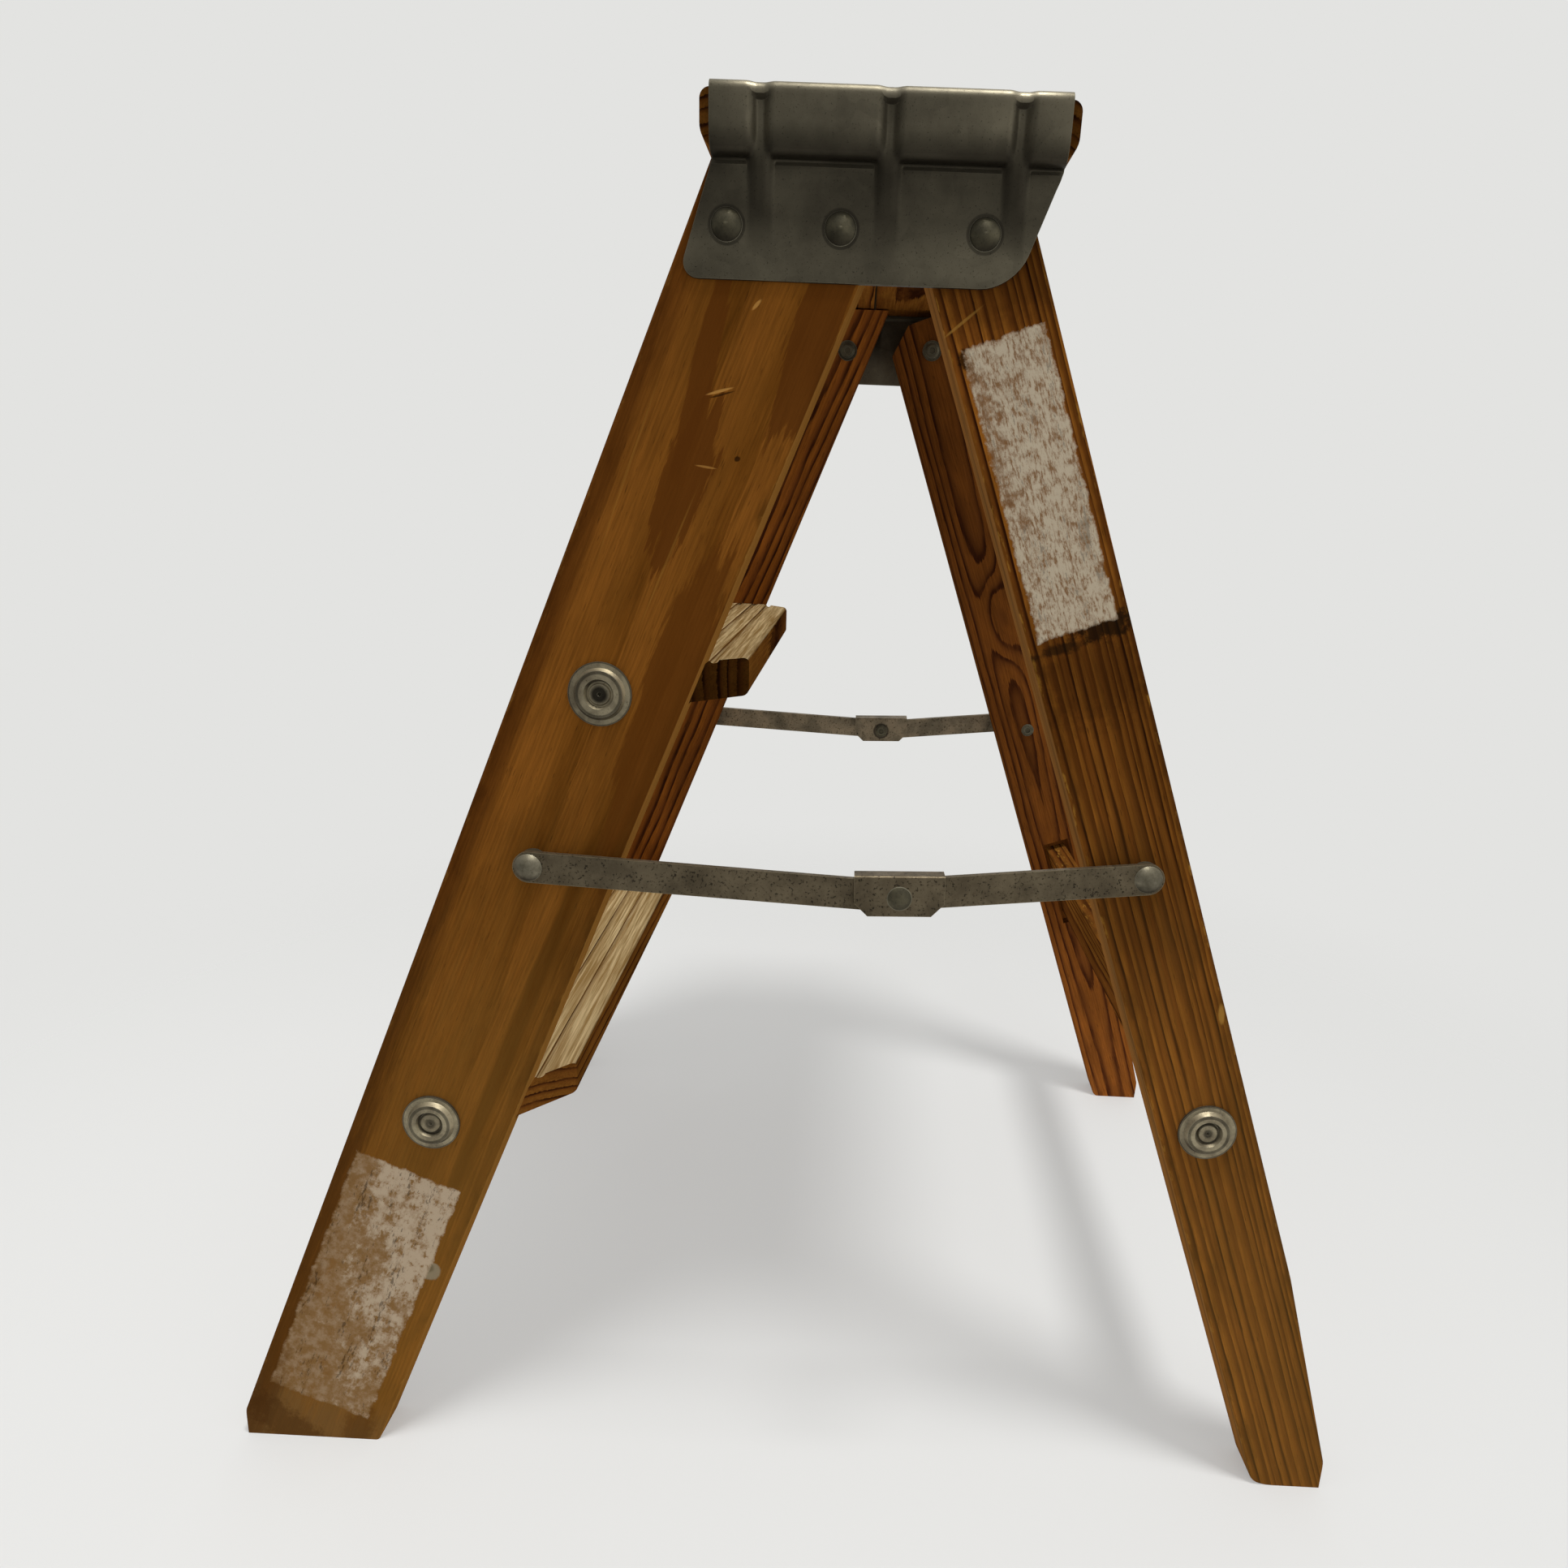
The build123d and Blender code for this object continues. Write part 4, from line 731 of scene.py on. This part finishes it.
# Pale studio floor, which fades into an even background of the same colour and shows a light shadow.
# A fill is: place, size and power. The fills only lift the near side and the step tops, so they cast no shadow.
roomLook = {"paper": "#e3e3e1", "floorSize": 3.0, "floorSides": 96, "floorRough": 0.9, "fade": (0.36, 0.85),
            "lift": 0.31, "sky": 0.46, "brightSide": (-0.5, 0.75, 0.4), "gloss": (0.14, 1.05),
            "lampPlace": (0.27, 0.17, 1.8), "lampSize": 0.28, "lampPower": 15.6, "aim": (0, 0, 0.3),
            "fills": {"cameraSideFill": ((1.6, 1.4, 0.7), 1.4, 8.2), "stepSideFill": ((0.2, -1.5, 1.3), 0.9, 10.0)}}
bpy.ops.object.select_all(action="DESELECT")
bpy.ops.mesh.primitive_circle_add(vertices=roomLook["floorSides"], radius=roomLook["floorSize"], fill_type="NGON",
                                  location=(0, 0, 0))
floor = bpy.context.object
floor.name = "studioFloor"
floorPaper, tree, shader = newMaterial("matFloorPaper")
shader.inputs["Base Color"].default_value = hexColour(roomLook["paper"])
shader.inputs["Roughness"].default_value = roomLook["floorRough"]
shader.inputs["Specular IOR Level"].default_value = 0.0
path = addNode(tree, "LightPath").node.outputs
glow = addNode(tree, "Emission", {"Color": hexColour(roomLook["paper"]), "Strength": 1.0})
lift = addNode(tree, "Math", {0: path["Is Camera Ray"], 1: roomLook["lift"]}, operation="MULTIPLY")
lit = addNode(tree, "MixShader", {0: lift, 1: shader.outputs[0], 2: glow})
where = addNode(tree, "TexCoord", output="Object")
away = addNode(tree, "VectorMath", {0: where}, "Value", operation="LENGTH")
fade = addNode(tree, "MapRange", {"Value": away, "From Min": roomLook["fade"][0], "From Max": roomLook["fade"][1]},
               **smooth)
clear = addNode(tree, "BsdfTransparent")
mixed = addNode(tree, "MixShader", {0: fade, 1: lit, 2: clear})
tree.links.new(mixed, tree.nodes["Material Output"].inputs["Surface"])
floor.data.materials.append(floorPaper)

world = bpy.data.worlds.new("studioRoom")
bpy.context.scene.world = world
world.use_nodes = True
tree = world.node_tree
sky = tree.nodes["Background"]
sky.inputs["Color"].default_value = (1, 1, 1, 1)
sky.inputs["Strength"].default_value = roomLook["sky"]
backdrop = addNode(tree, "Background", {"Color": hexColour(roomLook["paper"]), "Strength": 1.0})
path = addNode(tree, "LightPath").node.outputs
where = addNode(tree, "TexCoord", output="Generated")
side = addNode(tree, "VectorMath", {0: where, 1: Vector(roomLook["brightSide"]).normalized()}, "Value",
               operation="DOT_PRODUCT")
side = addNode(tree, "MapRange", {"Value": side, "From Min": -1.0, "To Min": roomLook["gloss"][0],
                                  "To Max": roomLook["gloss"][1]})
mirrored = addNode(tree, "Background", {"Color": hexColour(roomLook["paper"]), "Strength": side})
unseen = addNode(tree, "MixShader", {0: path["Is Glossy Ray"], 1: sky.outputs[0], 2: mirrored})
seen = addNode(tree, "Math", {0: path["Is Camera Ray"], 1: path["Is Transmission Ray"]}, operation="MAXIMUM")
shown = addNode(tree, "MixShader", {0: seen, 1: unseen, 2: backdrop})
tree.links.new(shown, tree.nodes["World Output"].inputs["Surface"])

bpy.ops.object.light_add(type="AREA", location=roomLook["lampPlace"])
lamp = bpy.context.object
lamp.name = "overheadSoftbox"
lamp.data.shape = "DISK"
lamp.data.size = roomLook["lampSize"]
lamp.data.energy = roomLook["lampPower"]

for name, (place, size, power) in roomLook["fills"].items():
    aim = Vector(roomLook["aim"]) - Vector(place)
    bpy.ops.object.light_add(type="AREA", location=place, rotation=aim.to_track_quat("-Z", "Y").to_euler())
    fill = bpy.context.object
    fill.name = name
    fill.data.shape = "SQUARE"
    fill.data.size = size
    fill.data.energy = power
    fill.visible_glossy = False
    fill.data.use_shadow = False

# Camera fitted to the photograph, in its own pixels
cameraLook = {"place": (0.51929, 0.01573, 0.4317), "yaw": -0.01269, "pitch": 0.30617, "roll": 0.04241,
              "focal": 1193.15, "middle": (1024.94, 1008.9), "picture": 1932, "sensor": 36.0, "nearest": 0.01}
yaw, pitch, roll = cameraLook["yaw"], cameraLook["pitch"], cameraLook["roll"]
forward = Vector((-math.cos(yaw) * math.cos(pitch), math.sin(yaw) * math.cos(pitch), -math.sin(pitch)))
level = Vector((math.sin(yaw), math.cos(yaw), 0))
upright = level.cross(forward)
cameraRight = math.cos(roll) * level + math.sin(roll) * upright
cameraUp = math.cos(roll) * upright - math.sin(roll) * level
bpy.ops.object.camera_add()
camera = bpy.context.object
camera.name = "photoCamera"
turn = Matrix((cameraRight, cameraUp, -forward)).transposed()
camera.matrix_world = Matrix.Translation(cameraLook["place"]) @ turn.to_4x4()
camera.data.sensor_width = cameraLook["sensor"]
camera.data.lens = cameraLook["focal"] / cameraLook["picture"] * cameraLook["sensor"]
half = cameraLook["picture"] / 2
camera.data.shift_x = (half - cameraLook["middle"][0]) / cameraLook["picture"]
camera.data.shift_y = (cameraLook["middle"][1] - half) / cameraLook["picture"]
camera.data.clip_start = cameraLook["nearest"]
bpy.context.scene.camera = camera
bpy.context.scene.view_settings.view_transform = "Standard"
print("stage, light and camera done")
